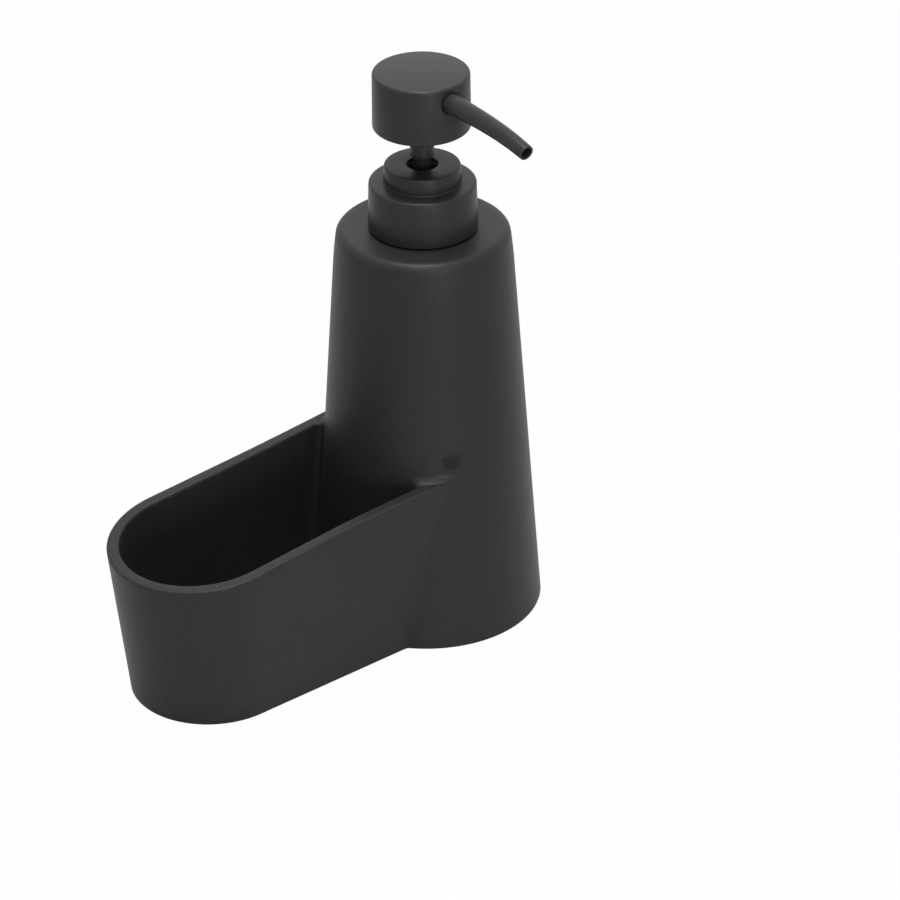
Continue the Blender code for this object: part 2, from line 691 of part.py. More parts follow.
def make_dip_tube():
    """The tube that draws soap from the bottle's floor, cut on a slant at its foot."""
    foot = []
    top = []
    for step in range(INNER_STEPS):
        angle = 2 * math.pi * step / INNER_STEPS
        x = TUBE_RADIUS * math.cos(angle)
        y = TUBE_RADIUS * math.sin(angle)
        foot.append((x, y, TUBE_BOTTOM + TUBE_SLANT * (1 + math.cos(angle)) / 2))
        top.append((x, y, TUBE_TOP))
    dip_tube = loft("dip_tube", [foot, top])
    low = (0, 0, TUBE_BOTTOM - CUT_OVERRUN)
    high = (0, 0, TUBE_TOP + CUT_OVERRUN)
    combine(dip_tube, rod("dip_tube_bore", TUBE_RADIUS - TUBE_WALL, low, high, INNER_STEPS), "DIFFERENCE")
    return settle(dip_tube)


# Pump: what moves with the press, and what turns with the spout as well
def make_seal():
    """The piston seal, a sleeve on the stem with a pair of lips against the cylinder."""
    web_top = (SEAL_TOP + SEAL_BOTTOM + SEAL_WEB) / 2
    web_bottom = web_top - SEAL_WEB
    outside = CYLINDER_RADIUS - FIT_GAP
    lip = outside - SEAL_LIP_WALL
    sleeve = STEM_GUIDE_RADIUS + SEAL_SLEEVE_WALL
    profile = [
        (STEM_GUIDE_RADIUS, SEAL_TOP),
        (sleeve, SEAL_TOP),
        (sleeve, web_top),
        (lip, web_top),
        (lip, SEAL_TOP),
        (outside, SEAL_TOP),
        (outside, SEAL_BOTTOM),
        (lip, SEAL_BOTTOM),
        (lip, web_bottom),
        (sleeve, web_bottom),
        (sleeve, SEAL_BOTTOM),
        (STEM_GUIDE_RADIUS, SEAL_BOTTOM),
    ]
    return turned("piston_seal", profile, INNER_STEPS)


def make_piston_rod():
    """The plug in the stem's foot, which the spring pushes up, with flats that let soap past."""
    shank = STEM_BORE_RADIUS - FIT_GAP
    top = FOOT_TOP + ROD_SHANK_LENGTH
    profile = [
        (0, top),
        (shank, top),
        (shank, FOOT_TOP),
        (ROD_FOOT_RADIUS, FOOT_TOP),
        (ROD_FOOT_RADIUS, FOOT_BOTTOM),
        (0, FOOT_BOTTOM),
    ]
    piston_rod = turned("piston_rod", profile, INNER_STEPS)
    near = shank - ROD_FLAT_DEPTH
    far = shank + CUT_OVERRUN
    low = FOOT_TOP + FIT_GAP
    high = top + CUT_OVERRUN
    combine(piston_rod, block("rod_flat_right", (near, -far, low), (far, far, high)), "DIFFERENCE")
    combine(piston_rod, block("rod_flat_left", (-far, -far, low), (-near, far, high)), "DIFFERENCE")
    return settle(piston_rod)


def make_stem():
    """The hollow stem between piston and head: wide at the head down to a bead, with a stop lower down."""
    bead_top = HUB_BOTTOM + STEM_BEAD_HEIGHT
    profile = [
        (STEM_BORE_RADIUS, STEM_TOP),
        (STEM_HUB_RADIUS, STEM_TOP),
        (STEM_HUB_RADIUS, bead_top),
        (STEM_BEAD_RADIUS, bead_top - EDGE_BREAK),
        (STEM_BEAD_RADIUS, HUB_BOTTOM + EDGE_BREAK),
        (STEM_HUB_RADIUS, HUB_BOTTOM),
        (STEM_RADIUS, HUB_BOTTOM),
        (STEM_RADIUS, STOP_TOP),
        (STEM_STOP_RADIUS, STOP_TOP),
        (STEM_STOP_RADIUS, STOP_BOTTOM),
        (STEM_RADIUS, STOP_BOTTOM),
        (STEM_RADIUS, STEM_BOTTOM),
        (STEM_BORE_RADIUS, STEM_BOTTOM),
    ]
    return turned("pump_stem", profile, INNER_STEPS)


def make_head_shell():
    """The black cup that is pressed down, with the hole that the spout comes through."""
    foot = reversed(rounding(HEAD_FOOT_ROUNDING))
    profile = [(0, HEAD_TOP)]
    profile += [(HEAD_RADIUS - inset, HEAD_TOP - drop) for inset, drop in rounding(HEAD_ROUNDING)]
    profile += [(HEAD_RADIUS - inset, HEAD_BOTTOM + rise) for inset, rise in foot]
    profile += [(HEAD_BORE, HEAD_BOTTOM), (HEAD_BORE, HEAD_TOP - HEAD_ROOF), (0, HEAD_TOP - HEAD_ROOF)]
    shell = turned("head_shell", profile, SHELL_STEPS)
    start = (0, 0, SPOUT_HEIGHT)
    end = (0, -HEAD_RADIUS - CUT_OVERRUN, SPOUT_HEIGHT)
    hole = rod("spout_hole", SPOUT_ROOT_RADIUS + SPOUT_HOLE_GAP, start, end, INNER_STEPS)
    combine(shell, hole, "DIFFERENCE")
    return settle(shell)


def make_head_core():
    """The core inside the head: a base plate, the stem's socket and the boss that holds the spout."""
    plate_top = CORE_BOTTOM + CORE_PLATE
    channel_top = SPOUT_HEIGHT + CORE_CHANNEL_RADIUS
    profile = [
        (0, CORE_TOP),
        (CORE_HUB_RADIUS, CORE_TOP),
        (CORE_HUB_RADIUS, plate_top),
        (CORE_RADIUS, plate_top),
        (CORE_RADIUS, CORE_BOTTOM),
        (CORE_SOCKET_BORE, CORE_BOTTOM),
        (CORE_SOCKET_BORE, CORE_SOCKET_TOP),
        (CORE_CHANNEL_RADIUS, CORE_SOCKET_TOP),
        (CORE_CHANNEL_RADIUS, channel_top),
        (0, channel_top),
    ]
    core = turned("head_core", profile, INNER_STEPS)

    def along_spout(name, radius, near, far):
        return rod(name, radius, (0, -near, SPOUT_HEIGHT), (0, -far, SPOUT_HEIGHT), SMALL_STEPS)

    outside = BOSS_END + CUT_OVERRUN
    inside_hub = (CORE_SOCKET_BORE + CORE_HUB_RADIUS) / 2
    combine(core, along_spout("spout_boss", BOSS_RADIUS, inside_hub, BOSS_END), "UNION")
    combine(core, along_spout("spout_seat", BOSS_BORE, SPOUT_SEAT, outside), "DIFFERENCE")
    combine(core, along_spout("core_channel", CORE_CHANNEL_RADIUS, 0, outside), "DIFFERENCE")
    return settle(core)


def spout_point(reach):
    """The spout's centre line: level at the head, then drooping ever faster towards its tip."""
    share = max(reach - HEAD_RADIUS, 0) / (SPOUT_REACH - HEAD_RADIUS)
    return (0, -reach, SPOUT_HEIGHT - SPOUT_DROOP * share**DROOP_POWER)


def make_spout():
    """The tapered tube from the head, with its bore open at both ends."""
    root = SPOUT_SEAT + FIT_GAP
    path = [spout_point(root), spout_point(HEAD_BORE - SPOUT_STEP)]
    radii = [SPOUT_SPIGOT_RADIUS, SPOUT_SPIGOT_RADIUS]
    bore = [spout_point(root - CUT_OVERRUN)]
    bore_radii = [SPOUT_BORE_ROOT_RADIUS]
    for index in range(SPOUT_POINTS + 1):
        share = index / SPOUT_POINTS
        point = spout_point(HEAD_BORE + (SPOUT_REACH - HEAD_BORE) * share)
        path.append(point)
        radii.append(SPOUT_ROOT_RADIUS + (SPOUT_TIP_RADIUS - SPOUT_ROOT_RADIUS) * share)
        bore.append(point)
        bore_radii.append(SPOUT_BORE_ROOT_RADIUS + (SPOUT_BORE_TIP_RADIUS - SPOUT_BORE_ROOT_RADIUS) * share)
    tip = Vector(path[-1])
    direction = (tip - Vector(path[-2])).normalized()
    bore.append(tip + direction * CUT_OVERRUN)
    bore_radii.append(SPOUT_BORE_TIP_RADIUS)
    spout = tube("spout_tube", path, radii, 6)
    combine(spout, tube("spout_bore", bore, bore_radii, 4, CUTTERS), "DIFFERENCE")
    return settle(spout)


def finish(name, colour, roughness, metallic):
    """A plain finish for one piece."""
    material = bpy.data.materials.new(name)
    material.use_nodes = True
    shader = material.node_tree.nodes["Principled BSDF"]
    shader.inputs["Base Color"].default_value = (*colour, 1)
    shader.inputs["Roughness"].default_value = roughness
    shader.inputs["Metallic"].default_value = metallic
    return material


def attach(child, parent):
    """Parent an object without moving it."""
    bpy.context.view_layer.update()
    child.parent = parent
    child.matrix_parent_inverse = parent.matrix_world.inverted()


def joint_centre(name, height, parent=None):
    """An empty on the bottle's axis that a moving group of pieces hangs from."""
    centre = add_object(name, None, PIECES)
    centre.location.z = height
    if parent:
        attach(centre, parent)
    return centre


def build():
    """Make every piece, give it its finish and hang it from the joint that it moves with."""
    lift = joint_centre("pump_lift_axis", NECK_TOP)
    unscrew = joint_centre("collar_axis", BOTTLE_HEIGHT, lift)
    press = joint_centre("press_axis", SLEEVE_BOTTOM, lift)
    swivel = joint_centre("spout_axis", STEM_TOP, press)
    bottle_pad, caddy_pad = make_pads()
    fixed = None
    pieces = [
        (make_body(), MATT_BLACK, fixed),
        (bottle_pad, SOFT_RUBBER, fixed),
        (caddy_pad, SOFT_RUBBER, fixed),
        (make_insert(), WHITE_PLASTIC, fixed),
        (make_cap(), WHITE_PLASTIC, unscrew),
        (make_collar(), MATT_BLACK, unscrew),
        (make_gasket(), SOFT_RUBBER, lift),
        (make_ring(), MATT_BLACK, lift),
        (make_lock_ring(), MATT_BLACK, lift),
        (make_wiper(), SOFT_RUBBER, lift),
        (make_housing(), CLEAR_PLASTIC, lift),
        (make_ball(), BRIGHT_STEEL, lift),
        (make_cage(), WHITE_PLASTIC, lift),
        (make_spring(), BRIGHT_STEEL, lift),
        (make_dip_tube(), CLEAR_PLASTIC, lift),
        (make_seal(), WHITE_PLASTIC, press),
        (make_piston_rod(), WHITE_PLASTIC, swivel),
        (make_stem(), MATT_BLACK, swivel),
        (make_head_shell(), MATT_BLACK, swivel),
        (make_head_core(), MATT_BLACK, swivel),
        (make_spout(), MATT_BLACK, swivel),
    ]
    for piece, look, centre in pieces:
        piece.data.materials.clear()
        piece.data.materials.append(finish(piece.name, *look))
        if centre:
            attach(piece, centre)


build()
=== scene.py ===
# %% [markdown]
# # A soap dispenser with a caddy
# The object is a matt black dispenser for a kitchen or bathroom counter. A tapered bottle and an
# open, boat-shaped caddy are one casting, and a lotion pump is screwed on the bottle's neck. This
# lesson loads the plain model of the dispenser, which fixes every size and place, and dresses it
# piece by piece. All lengths are in metres, +Z is up, the caddy lies along -X and the spout
# points along -Y.

# %% Load the plain model
import math

import bmesh
import bpy
from mathutils import Matrix, Vector


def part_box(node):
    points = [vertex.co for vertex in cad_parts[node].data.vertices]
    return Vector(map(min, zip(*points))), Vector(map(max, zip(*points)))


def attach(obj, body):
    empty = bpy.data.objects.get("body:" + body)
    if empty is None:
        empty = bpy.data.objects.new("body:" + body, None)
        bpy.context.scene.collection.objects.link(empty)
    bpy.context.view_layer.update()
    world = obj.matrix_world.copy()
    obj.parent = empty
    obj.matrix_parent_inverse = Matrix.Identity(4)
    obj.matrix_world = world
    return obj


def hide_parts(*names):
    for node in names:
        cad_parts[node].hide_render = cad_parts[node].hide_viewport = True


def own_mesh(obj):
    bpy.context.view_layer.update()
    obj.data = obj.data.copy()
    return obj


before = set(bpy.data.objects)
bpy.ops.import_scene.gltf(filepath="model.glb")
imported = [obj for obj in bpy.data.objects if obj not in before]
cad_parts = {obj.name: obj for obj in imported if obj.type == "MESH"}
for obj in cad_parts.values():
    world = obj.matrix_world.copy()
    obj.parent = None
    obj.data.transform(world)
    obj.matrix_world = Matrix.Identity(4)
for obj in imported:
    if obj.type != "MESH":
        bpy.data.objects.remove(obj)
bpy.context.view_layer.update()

# %% [markdown]
# ## The camera
# The picture was taken from in front and to the left, from 30 degrees above, with a long lens.
# The camera is placed first, because it decides which surfaces deserve the most care.

# %% Place the camera
CAMERA_PLACE = Vector((-0.688889, -0.907109, 0.720426))
CAMERA_TURN = math.radians(-37.5901)
CAMERA_PITCH = math.radians(30.4083)
CAMERA_ROLL = math.radians(-0.64506)
CAMERA_LENS = 166.58
SENSOR_WIDTH = 36
NEAREST_SEEN = 0.01
camera_data = bpy.data.cameras.new("camera")
camera_data.lens = CAMERA_LENS
camera_data.sensor_width = SENSOR_WIDTH
camera_data.clip_start = NEAREST_SEEN
camera = bpy.data.objects.new("camera", camera_data)
bpy.context.scene.collection.objects.link(camera)
camera.matrix_world = (
    Matrix.Translation(CAMERA_PLACE)
    @ Matrix.Rotation(CAMERA_TURN, 4, "Z")
    @ Matrix.Rotation(math.pi / 2 - CAMERA_PITCH, 4, "X")
    @ Matrix.Rotation(CAMERA_ROLL, 4, "Z")
)
bpy.context.scene.camera = camera
print("camera is", round(CAMERA_PLACE.length, 3), "m from the origin")

# %% [markdown]
# ## Writing node trees as sums
# A node tree is a page of arithmetic. `Net` makes nodes in a tree, and `Wire` stands for one
# output socket, so that `1 - mask` or `a * b + c` adds the Math nodes that it needs. The same two
# classes serve the shaders and the geometry.

# %% Two small classes for node trees
NODES_IN_ROW = 12
COLUMN_WIDTH = 180
ROW_HEIGHT = 220


class Wire:
    """An output socket, on which sums can be written."""

    def __init__(self, net, socket):
        self.net = net
        self.socket = socket

    def __add__(self, other):
        return self.net.maths("ADD", self, other)

    def __sub__(self, other):
        return self.net.maths("SUBTRACT", self, other)

    def __rsub__(self, other):
        return self.net.maths("SUBTRACT", other, self)

    def __mul__(self, other):
        return self.net.maths("MULTIPLY", self, other)

    def __truediv__(self, other):
        return self.net.maths("DIVIDE", self, other)

    def __neg__(self):
        return self.net.maths("SUBTRACT", 0.0, self)

    __radd__ = __add__
    __rmul__ = __mul__


class Net:
    """A node tree that is written line by line."""

    def __init__(self, tree):
        self.tree = tree

    def plug(self, socket, value):
        if isinstance(value, Wire):
            self.tree.links.new(value.socket, socket)
        elif isinstance(value, bpy.types.ID):
            socket.default_value = value
        elif hasattr(socket.default_value, "__len__") and len(socket.default_value) == 4:
            socket.default_value = (*value, 1) if len(value) == 3 else value
        else:
            socket.default_value = value

    def node(self, kind, settings=None, inputs=None, output=None):
        """Make a node, with its settings first and then its sockets, and return one output."""
        made = self.tree.nodes.new(kind)
        row, column = divmod(len(self.tree.nodes), NODES_IN_ROW)
        made.location = (COLUMN_WIDTH * column, -ROW_HEIGHT * row)
        for name, setting in (settings or {}).items():
            setattr(made, name, setting)
        for key, value in (inputs or {}).items():
            named = [s for s in made.inputs if s.enabled and s.name == key]
            self.plug(made.inputs[key] if isinstance(key, int) else named[0], value)
        outputs = [s for s in made.outputs if s.enabled and output in (None, s.name)]
        return Wire(self, outputs[0])

    def maths(self, operation, *values):
        return self.node("ShaderNodeMath", {"operation": operation}, dict(enumerate(values)))

    def vector(self, operation, *values, output=None):
        inputs = dict(enumerate(values))
        return self.node("ShaderNodeVectorMath", {"operation": operation}, inputs, output)

    def separate(self, vector):
        return [self.node("ShaderNodeSeparateXYZ", {}, {0: vector}, axis) for axis in "XYZ"]

    def combine(self, x, y, z):
        return self.node("ShaderNodeCombineXYZ", {}, {0: x, 1: y, 2: z})

    def length(self, a, b):
        return self.maths("SQRT", a * a + b * b)

    def clamp(self, value, low=0.0, high=1.0):
        return self.node("ShaderNodeClamp", {}, {"Value": value, "Min": low, "Max": high})


print("node helpers ready")

# %% [markdown]
# ## Finishes
# The bottle and the pump are both matt black, but not the same. The casting is painted or dyed
# resin: very dull, with a grain as fine as eggshell, slightly cloudy, and it shows specks of
# dust. The pump is moulded plastic with a finer, satin skin. Rough black surfaces live from their
# grazing reflections, which the shader gives by itself. The colour under them is so dark that its
# clouds and spots can vary by almost half and still look faint. On the bottle, just over the near
# end of the caddy's rim, is one darker and duller smudge. Patterns read Object coordinates, which
# are metres on the object, so a scale of 1000 means one cell for each millimetre.


# %% Helpers for every finish
def new_finish(name):
    material = bpy.data.materials.new(name)
    material.use_nodes = True
    net = Net(material.node_tree)
    shader = material.node_tree.nodes["Principled BSDF"]
    place = net.node("ShaderNodeTexCoord", output="Object")
    return material, net, shader, place


def noise(net, place, scale, detail=2.0, roughness=0.5):
    inputs = {"Vector": place, "Scale": scale, "Detail": detail, "Roughness": roughness}
    return net.node("ShaderNodeTexNoise", {}, inputs, "Fac")


def blend(net, factor, first, second):
    inputs = {"Factor": factor, "A": first, "B": second}
    return net.node("ShaderNodeMix", {"data_type": "RGBA"}, inputs, "Result")


def toned(colour, change):
    """A colour made lighter, or darker where the change is negative, by a share of itself."""
    return tuple(channel * (1 + change) for channel in colour)


def relief(net, shader, height, depth):
    """Give a finish the fine relief of its skin, so many metres deep."""
    bump = {"Height": height, "Strength": 1.0, "Distance": depth}
    net.plug(shader.inputs["Normal"], net.node("ShaderNodeBump", {}, bump, "Normal"))


print("finish helpers ready")

# %% Specks of dust, and a smudge
DUST_COLOUR = (0.30, 0.30, 0.30)
DUST_SPACING = 0.009
DUST_SIZE = 0.00022
SMUDGE_SPOT = (-0.0124, -0.0293, 0.0654)
SMUDGE_SIZE = 0.0038
SMUDGE_SCALE = 420.0
SMUDGE_EDGE = 2.4
SMUDGE_UNEVENNESS = 2.4


def dust(net, place, share):
    """1 on sparse round specks: only this share of the cells holds one."""
    inputs = {"Vector": place, "Scale": 1 / DUST_SPACING, "Randomness": 1.0}
    distance = net.node("ShaderNodeTexVoronoi", {"feature": "F1"}, inputs, "Distance")
    colour = net.node("ShaderNodeTexVoronoi", {"feature": "F1"}, inputs, "Color")
    draw = net.node("ShaderNodeSeparateColor", {}, {0: colour}, "Red")
    chosen = net.maths("LESS_THAN", draw, share)
    return chosen * net.maths("LESS_THAN", distance, DUST_SIZE / DUST_SPACING)


def smudge(net, place, spot):
    """1 within an uneven patch round a spot, fading to 0 at its edge."""
    away = net.vector("DISTANCE", place, spot, output="Value") / SMUDGE_SIZE
    uneven = (noise(net, place, SMUDGE_SCALE) - 0.5) * SMUDGE_UNEVENNESS
    return net.clamp((1 - away) * SMUDGE_EDGE + uneven)


print("specks", DUST_SIZE, "m and a smudge", SMUDGE_SIZE, "m in radius")

# %% The two blacks
CLOUD_SCALE = 28.0
CLOUD_TONE = 0.4
CLOUD_GLOSS = 0.08
SPOT_SCALE = 700.0
SPOT_TONE = 0.6
SPOT_GLOSS = 0.10
GRAIN_FLATNESS = 45
SMUDGE_COLOUR = (0.0, 0.0, 0.0)
SMUDGE_STRENGTH = 0.65
SMUDGE_DULLNESS = 0.09


def matt_black(name, colour, roughness, gloss, grain, mottle, specks, smudge_spot=None):
    """A black plastic or resin: clouds and spots of tone and gloss, a fine grain, and dust."""
    material, net, shader, place = new_finish(name)
    clouds = noise(net, place, CLOUD_SCALE, detail=3.0)
    spots = noise(net, place, SPOT_SCALE, detail=3.0, roughness=0.6)
    fine = noise(net, place, 1 / grain, roughness=0.6)
    tone = clouds * CLOUD_TONE + spots * SPOT_TONE
    base = blend(net, tone, toned(colour, -mottle), toned(colour, mottle))
    rough = (clouds - 0.5) * CLOUD_GLOSS + (spots - 0.5) * SPOT_GLOSS + roughness
    if smudge_spot:
        mark = smudge(net, place, smudge_spot)
        base = blend(net, mark * SMUDGE_STRENGTH, base, SMUDGE_COLOUR)
        rough = rough + mark * SMUDGE_DULLNESS
    dusty = blend(net, dust(net, place, specks), base, DUST_COLOUR)
    net.plug(shader.inputs["Base Color"], dusty)
    net.plug(shader.inputs["Roughness"], rough)
    shader.inputs["Specular IOR Level"].default_value = gloss
    relief(net, shader, fine, grain / GRAIN_FLATNESS)
    return material


CAST_BLACK = matt_black(
    "cast_black",
    (0.027, 0.027, 0.028),
    roughness=0.43,
    gloss=0.205,
    grain=0.00045,
    mottle=0.45,
    specks=0.05,
    smudge_spot=SMUDGE_SPOT,
)
MOULDED_BLACK = matt_black(
    "moulded_black",
    (0.028, 0.028, 0.0285),
    roughness=0.37,
    gloss=0.24,
    grain=0.00030,
    mottle=0.40,
    specks=0.03,
)
print("blacks:", CAST_BLACK.name, MOULDED_BLACK.name)

# %% [markdown]
# The hidden pieces are ordinary pump parts. The housing and the dip tube are natural
# polypropylene, which is milky; the neck, the cap, the ball's cage and the piston are white; the
# flat seal, the stem's wiper and the pads are soft black rubber; the ball and the spring are
# stainless steel. The lock ring and the head's core are as black as the pump outside. Each gets
# the small unevenness of its making.

# %% Finishes for the pieces inside
FLOW_SHADE = -0.07
FLOW_GLOSS = 0.12
MOULDED_SKIN_SCALE = 900.0
MOULDED_SKIN_DEPTH = 0.000006
PIT_SCALE = 1400.0
PIT_DEPTH = 0.00002
PIT_TONE = 0.5
PIT_GLOSS = 0.2
RUBBER_ROUGHNESS = 0.8
SCRATCH_SCALE = 2500.0
SCRATCH_GLOSS = 0.25
STEEL_ROUGHNESS = 0.12
STEEL_DARK = (0.52, 0.52, 0.50)
STEEL_LIGHT = (0.66, 0.66, 0.64)


def moulded(name, colour, roughness, flow, alpha=1.0):
    """A pale moulding: faint flow clouds, and a skin that is slightly uneven in gloss."""
    material, net, shader, place = new_finish(name)
    clouds = noise(net, place, flow)
    net.plug(shader.inputs["Base Color"], blend(net, clouds, toned(colour, FLOW_SHADE), colour))
    net.plug(shader.inputs["Roughness"], (clouds - 0.5) * FLOW_GLOSS + roughness)
    relief(net, shader, noise(net, place, MOULDED_SKIN_SCALE), MOULDED_SKIN_DEPTH)
    net.plug(shader.inputs["Alpha"], alpha)
    return material


def rubber(name, colour):
    """Soft rubber: dull, with a fine, slightly pitted skin."""
    material, net, shader, place = new_finish(name)
    pits = noise(net, place, PIT_SCALE, detail=3.0)
    net.plug(shader.inputs["Base Color"], blend(net, pits, colour, toned(colour, PIT_TONE)))
    net.plug(shader.inputs["Roughness"], (pits - 0.5) * PIT_GLOSS + RUBBER_ROUGHNESS)
    relief(net, shader, pits, PIT_DEPTH)
    return material


def steel(name):
    """Bright drawn steel: nearly even, with fine scratches in its gloss."""
    material, net, shader, place = new_finish(name)
    scratches = noise(net, place, SCRATCH_SCALE, detail=4.0, roughness=0.7)
    net.plug(shader.inputs["Base Color"], blend(net, scratches, STEEL_DARK, STEEL_LIGHT))
    net.plug(shader.inputs["Roughness"], scratches * SCRATCH_GLOSS + STEEL_ROUGHNESS)
    shader.inputs["Metallic"].default_value = 1
    return material


WHITE_MOULDING = moulded("white_moulding", (0.78, 0.78, 0.76), roughness=0.42, flow=120.0)
MILKY_MOULDING = moulded(
    "milky_moulding", (0.74, 0.76, 0.76), roughness=0.28, flow=60.0, alpha=0.55
)
DULL_RUBBER = rubber("dull_rubber", (0.012, 0.012, 0.012))
STAINLESS_STEEL = steel("stainless_steel")
INSIDE_FINISHES = (WHITE_MOULDING, MILKY_MOULDING, DULL_RUBBER, STAINLESS_STEEL)
print("inside finishes:", *[finish.name for finish in INSIDE_FINISHES])

# %% [markdown]
# ## From a modifier to a finished piece
# Every finished piece is one plain mesh at the origin, which rides on a moving group and stands
# for a piece of the plain model. `settle` turns whatever modifiers made into that mesh, and
# `dress` hands it over. `from_tree` makes a piece with Geometry Nodes: each tree has its sizes as
# named inputs, so that they can be changed in the modifier without touching the nodes.

# %% Helpers that finish a piece
SHARP_ANGLE = math.radians(34)
MERGE = 0.000001


def new_object(name, data):
    obj = bpy.data.objects.new(name, data)
    bpy.context.scene.collection.objects.link(obj)
    return obj


def settle(obj, sharp=SHARP_ANGLE):
    """Evaluate an object into one plain, smooth-shaded mesh in world space."""
    bpy.context.view_layer.update()
    evaluated = obj.evaluated_get(bpy.context.evaluated_depsgraph_get())
    mesh = bpy.data.meshes.new_from_object(evaluated)
    mesh.transform(obj.matrix_world)
    name = obj.name
    bpy.data.objects.remove(obj, do_unlink=True)
    mesh.name = name
    if sharp is not None:
        mesh.shade_smooth()
        mesh.set_sharp_from_angle(angle=sharp)
    return new_object(name, mesh)


def dress(piece, node, body, material):
    """Hand a finished piece over: its finish, its group and the plain piece it stands for."""
    piece.data.materials.clear()
    piece.data.materials.append(material)
    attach(piece, body)
    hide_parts(node)
    print(node, "->", piece.name, "with", len(piece.data.polygons), "faces")


def new_tree(name, sizes, given, result):
    """A geometry tree with a given socket, named number inputs for its sizes, and a result."""
    tree = bpy.data.node_groups.new(name, "GeometryNodeTree")
    for label, kind in [given] + [(label, "NodeSocketFloat") for label in sizes]:
        tree.interface.new_socket(label, in_out="INPUT", socket_type=kind)
    tree.interface.new_socket(result[0], in_out="OUTPUT", socket_type=result[1])
    net = Net(tree)
    entry = tree.nodes.new("NodeGroupInput")
    size = {label: Wire(net, entry.outputs[label]) for label in sizes}
    return net, Wire(net, entry.outputs[0]), size, tree.nodes.new("NodeGroupOutput").inputs[0]


def solid(net, mesh, material):
    """How each tree ends: in real geometry with its material."""
    mesh = net.node("GeometryNodeRealizeInstances", {}, {"Geometry": mesh})
    return net.node("GeometryNodeSetMaterial", {}, {"Geometry": mesh, "Material": material})


def from_tree(name, build, sizes, sharp=SHARP_ANGLE):
    """A settled piece that a geometry tree makes with these sizes."""
    geometry = ("Geometry", "NodeSocketGeometry")
    net, _, size, leave = new_tree(name, sizes, geometry, geometry)
    net.plug(leave, build(net, size))
    obj = new_object(name, bpy.data.meshes.new(name))
    modifier = obj.modifiers.new(name, "NODES")
    modifier.node_group = net.tree
    for item in net.tree.interface.items_tree:
        if item.in_out == "INPUT" and item.name in sizes:
            modifier[item.identifier] = sizes[item.name]
    return settle(obj, sharp)


print("piece helpers ready")

# %% [markdown]
# ## The casting: a shape given by a distance
# Bottle and caddy are one casting, so they meet in soft hollows, not in lines. Two solids joined
# by a Boolean would meet in a hard crease, and a bevel on that long, slanting crease breaks down
# where it runs out. Here the casting is written as a rule instead: a number that is negative
# inside the material, zero on its skin and positive outside. Two such numbers join with a fillet
# or meet with a round edge by a short sum. The rule is one node group, and its inputs are the
# casting's sizes.

# %% The casting's sizes
CAST_SIZES = {
    "Base radius": 0.0363,
    "Top radius": 0.0272,
    "Height": 0.1320,
    "Underside": 0.0003,
    "Shoulder round": 0.0023,
    "Shoulder bow": 0.0005,
    "Bow height": 0.0120,
    "Foot round": 0.0004,
    "Rim reach": 0.08650,
    "Rim half width": 0.0282,
    "Rim end radius": 0.02958,
    "Foot reach": 0.0853,
    "Foot half width": 0.0236,
    "Foot end radius": 0.0254,
    "Rim low": 0.0505,
    "Rim rise": 0.0112,
    "Rim flare": 0.00125,
    "Rim dip": 0.00047,
    "Bend start": 0.0600,
    "Bend run": 0.0375,
    "Wall": 0.0039,
    "Floor": 0.0053,
    "Rim round": 0.0006,
    "Cavity round": 0.0030,
    "Outer fillet": 0.0006,
    "Rim fillet": 0.0024,
    "Fillet growth": 1.3,
    "Inner fillet": 0.0045,
    "Caddy end": 0.0100,
}
cast_low, cast_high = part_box("body_shell")
print("casting from", [round(v, 4) for v in cast_low], "to", [round(v, 4) for v in cast_high])


# %% Round edges and fillets between two distances
def round_edge(net, a, b, radius):
    """Two faces that meet at an outside corner: the larger distance, with the corner rounded."""
    past_a = net.maths("MAXIMUM", a + radius, 0.0)
    past_b = net.maths("MAXIMUM", b + radius, 0.0)
    return net.maths("MINIMUM", net.maths("MAXIMUM", a, b), -radius) + net.length(past_a, past_b)


def fillet(net, a, b, radius):
    """Two solids that join: the smaller distance, with the inside corner filled round."""
    near_a = net.maths("MAXIMUM", radius - a, 0.0)
    near_b = net.maths("MAXIMUM", radius - b, 0.0)
    return net.maths("MAXIMUM", net.maths("MINIMUM", a, b), radius) - net.length(near_a, near_b)


print("fillet sums ready")

# %% [markdown]
# The bottle is a cone. The caddy's plan is a long oval that grows from its foot to its rim, and
# its rim rises towards the bottle. The caddy starts as a solid block, which is joined to the
# bottle with a fillet, and then the room inside is taken out of it. Where the block's outside
# runs into the cone the two are almost level, so a small fillet already looks soft. Over the rim
# it has to be larger, so the fillet grows from the outer edge inwards.

# %% The rule of the casting
BEND_LIMIT = 1.1


def caddy_plan(net, x, y, climb, size):
    """Distance in plan from the caddy's outline, at a share of the climb from foot to rim."""
    reach = size["Foot reach"] + (size["Rim reach"] - size["Foot reach"]) * climb
    end = size["Foot end radius"] + (size["Rim end radius"] - size["Foot end radius"]) * climb
    half = size["Foot half width"] + (size["Rim half width"] - size["Foot half width"]) * climb
    along = x + reach
    beyond = net.maths("MINIMUM", along, 0.0)
    share = net.maths("MAXIMUM", along, 0.0) / reach
    return net.length(beyond, y) - (end + (half - end) * share)


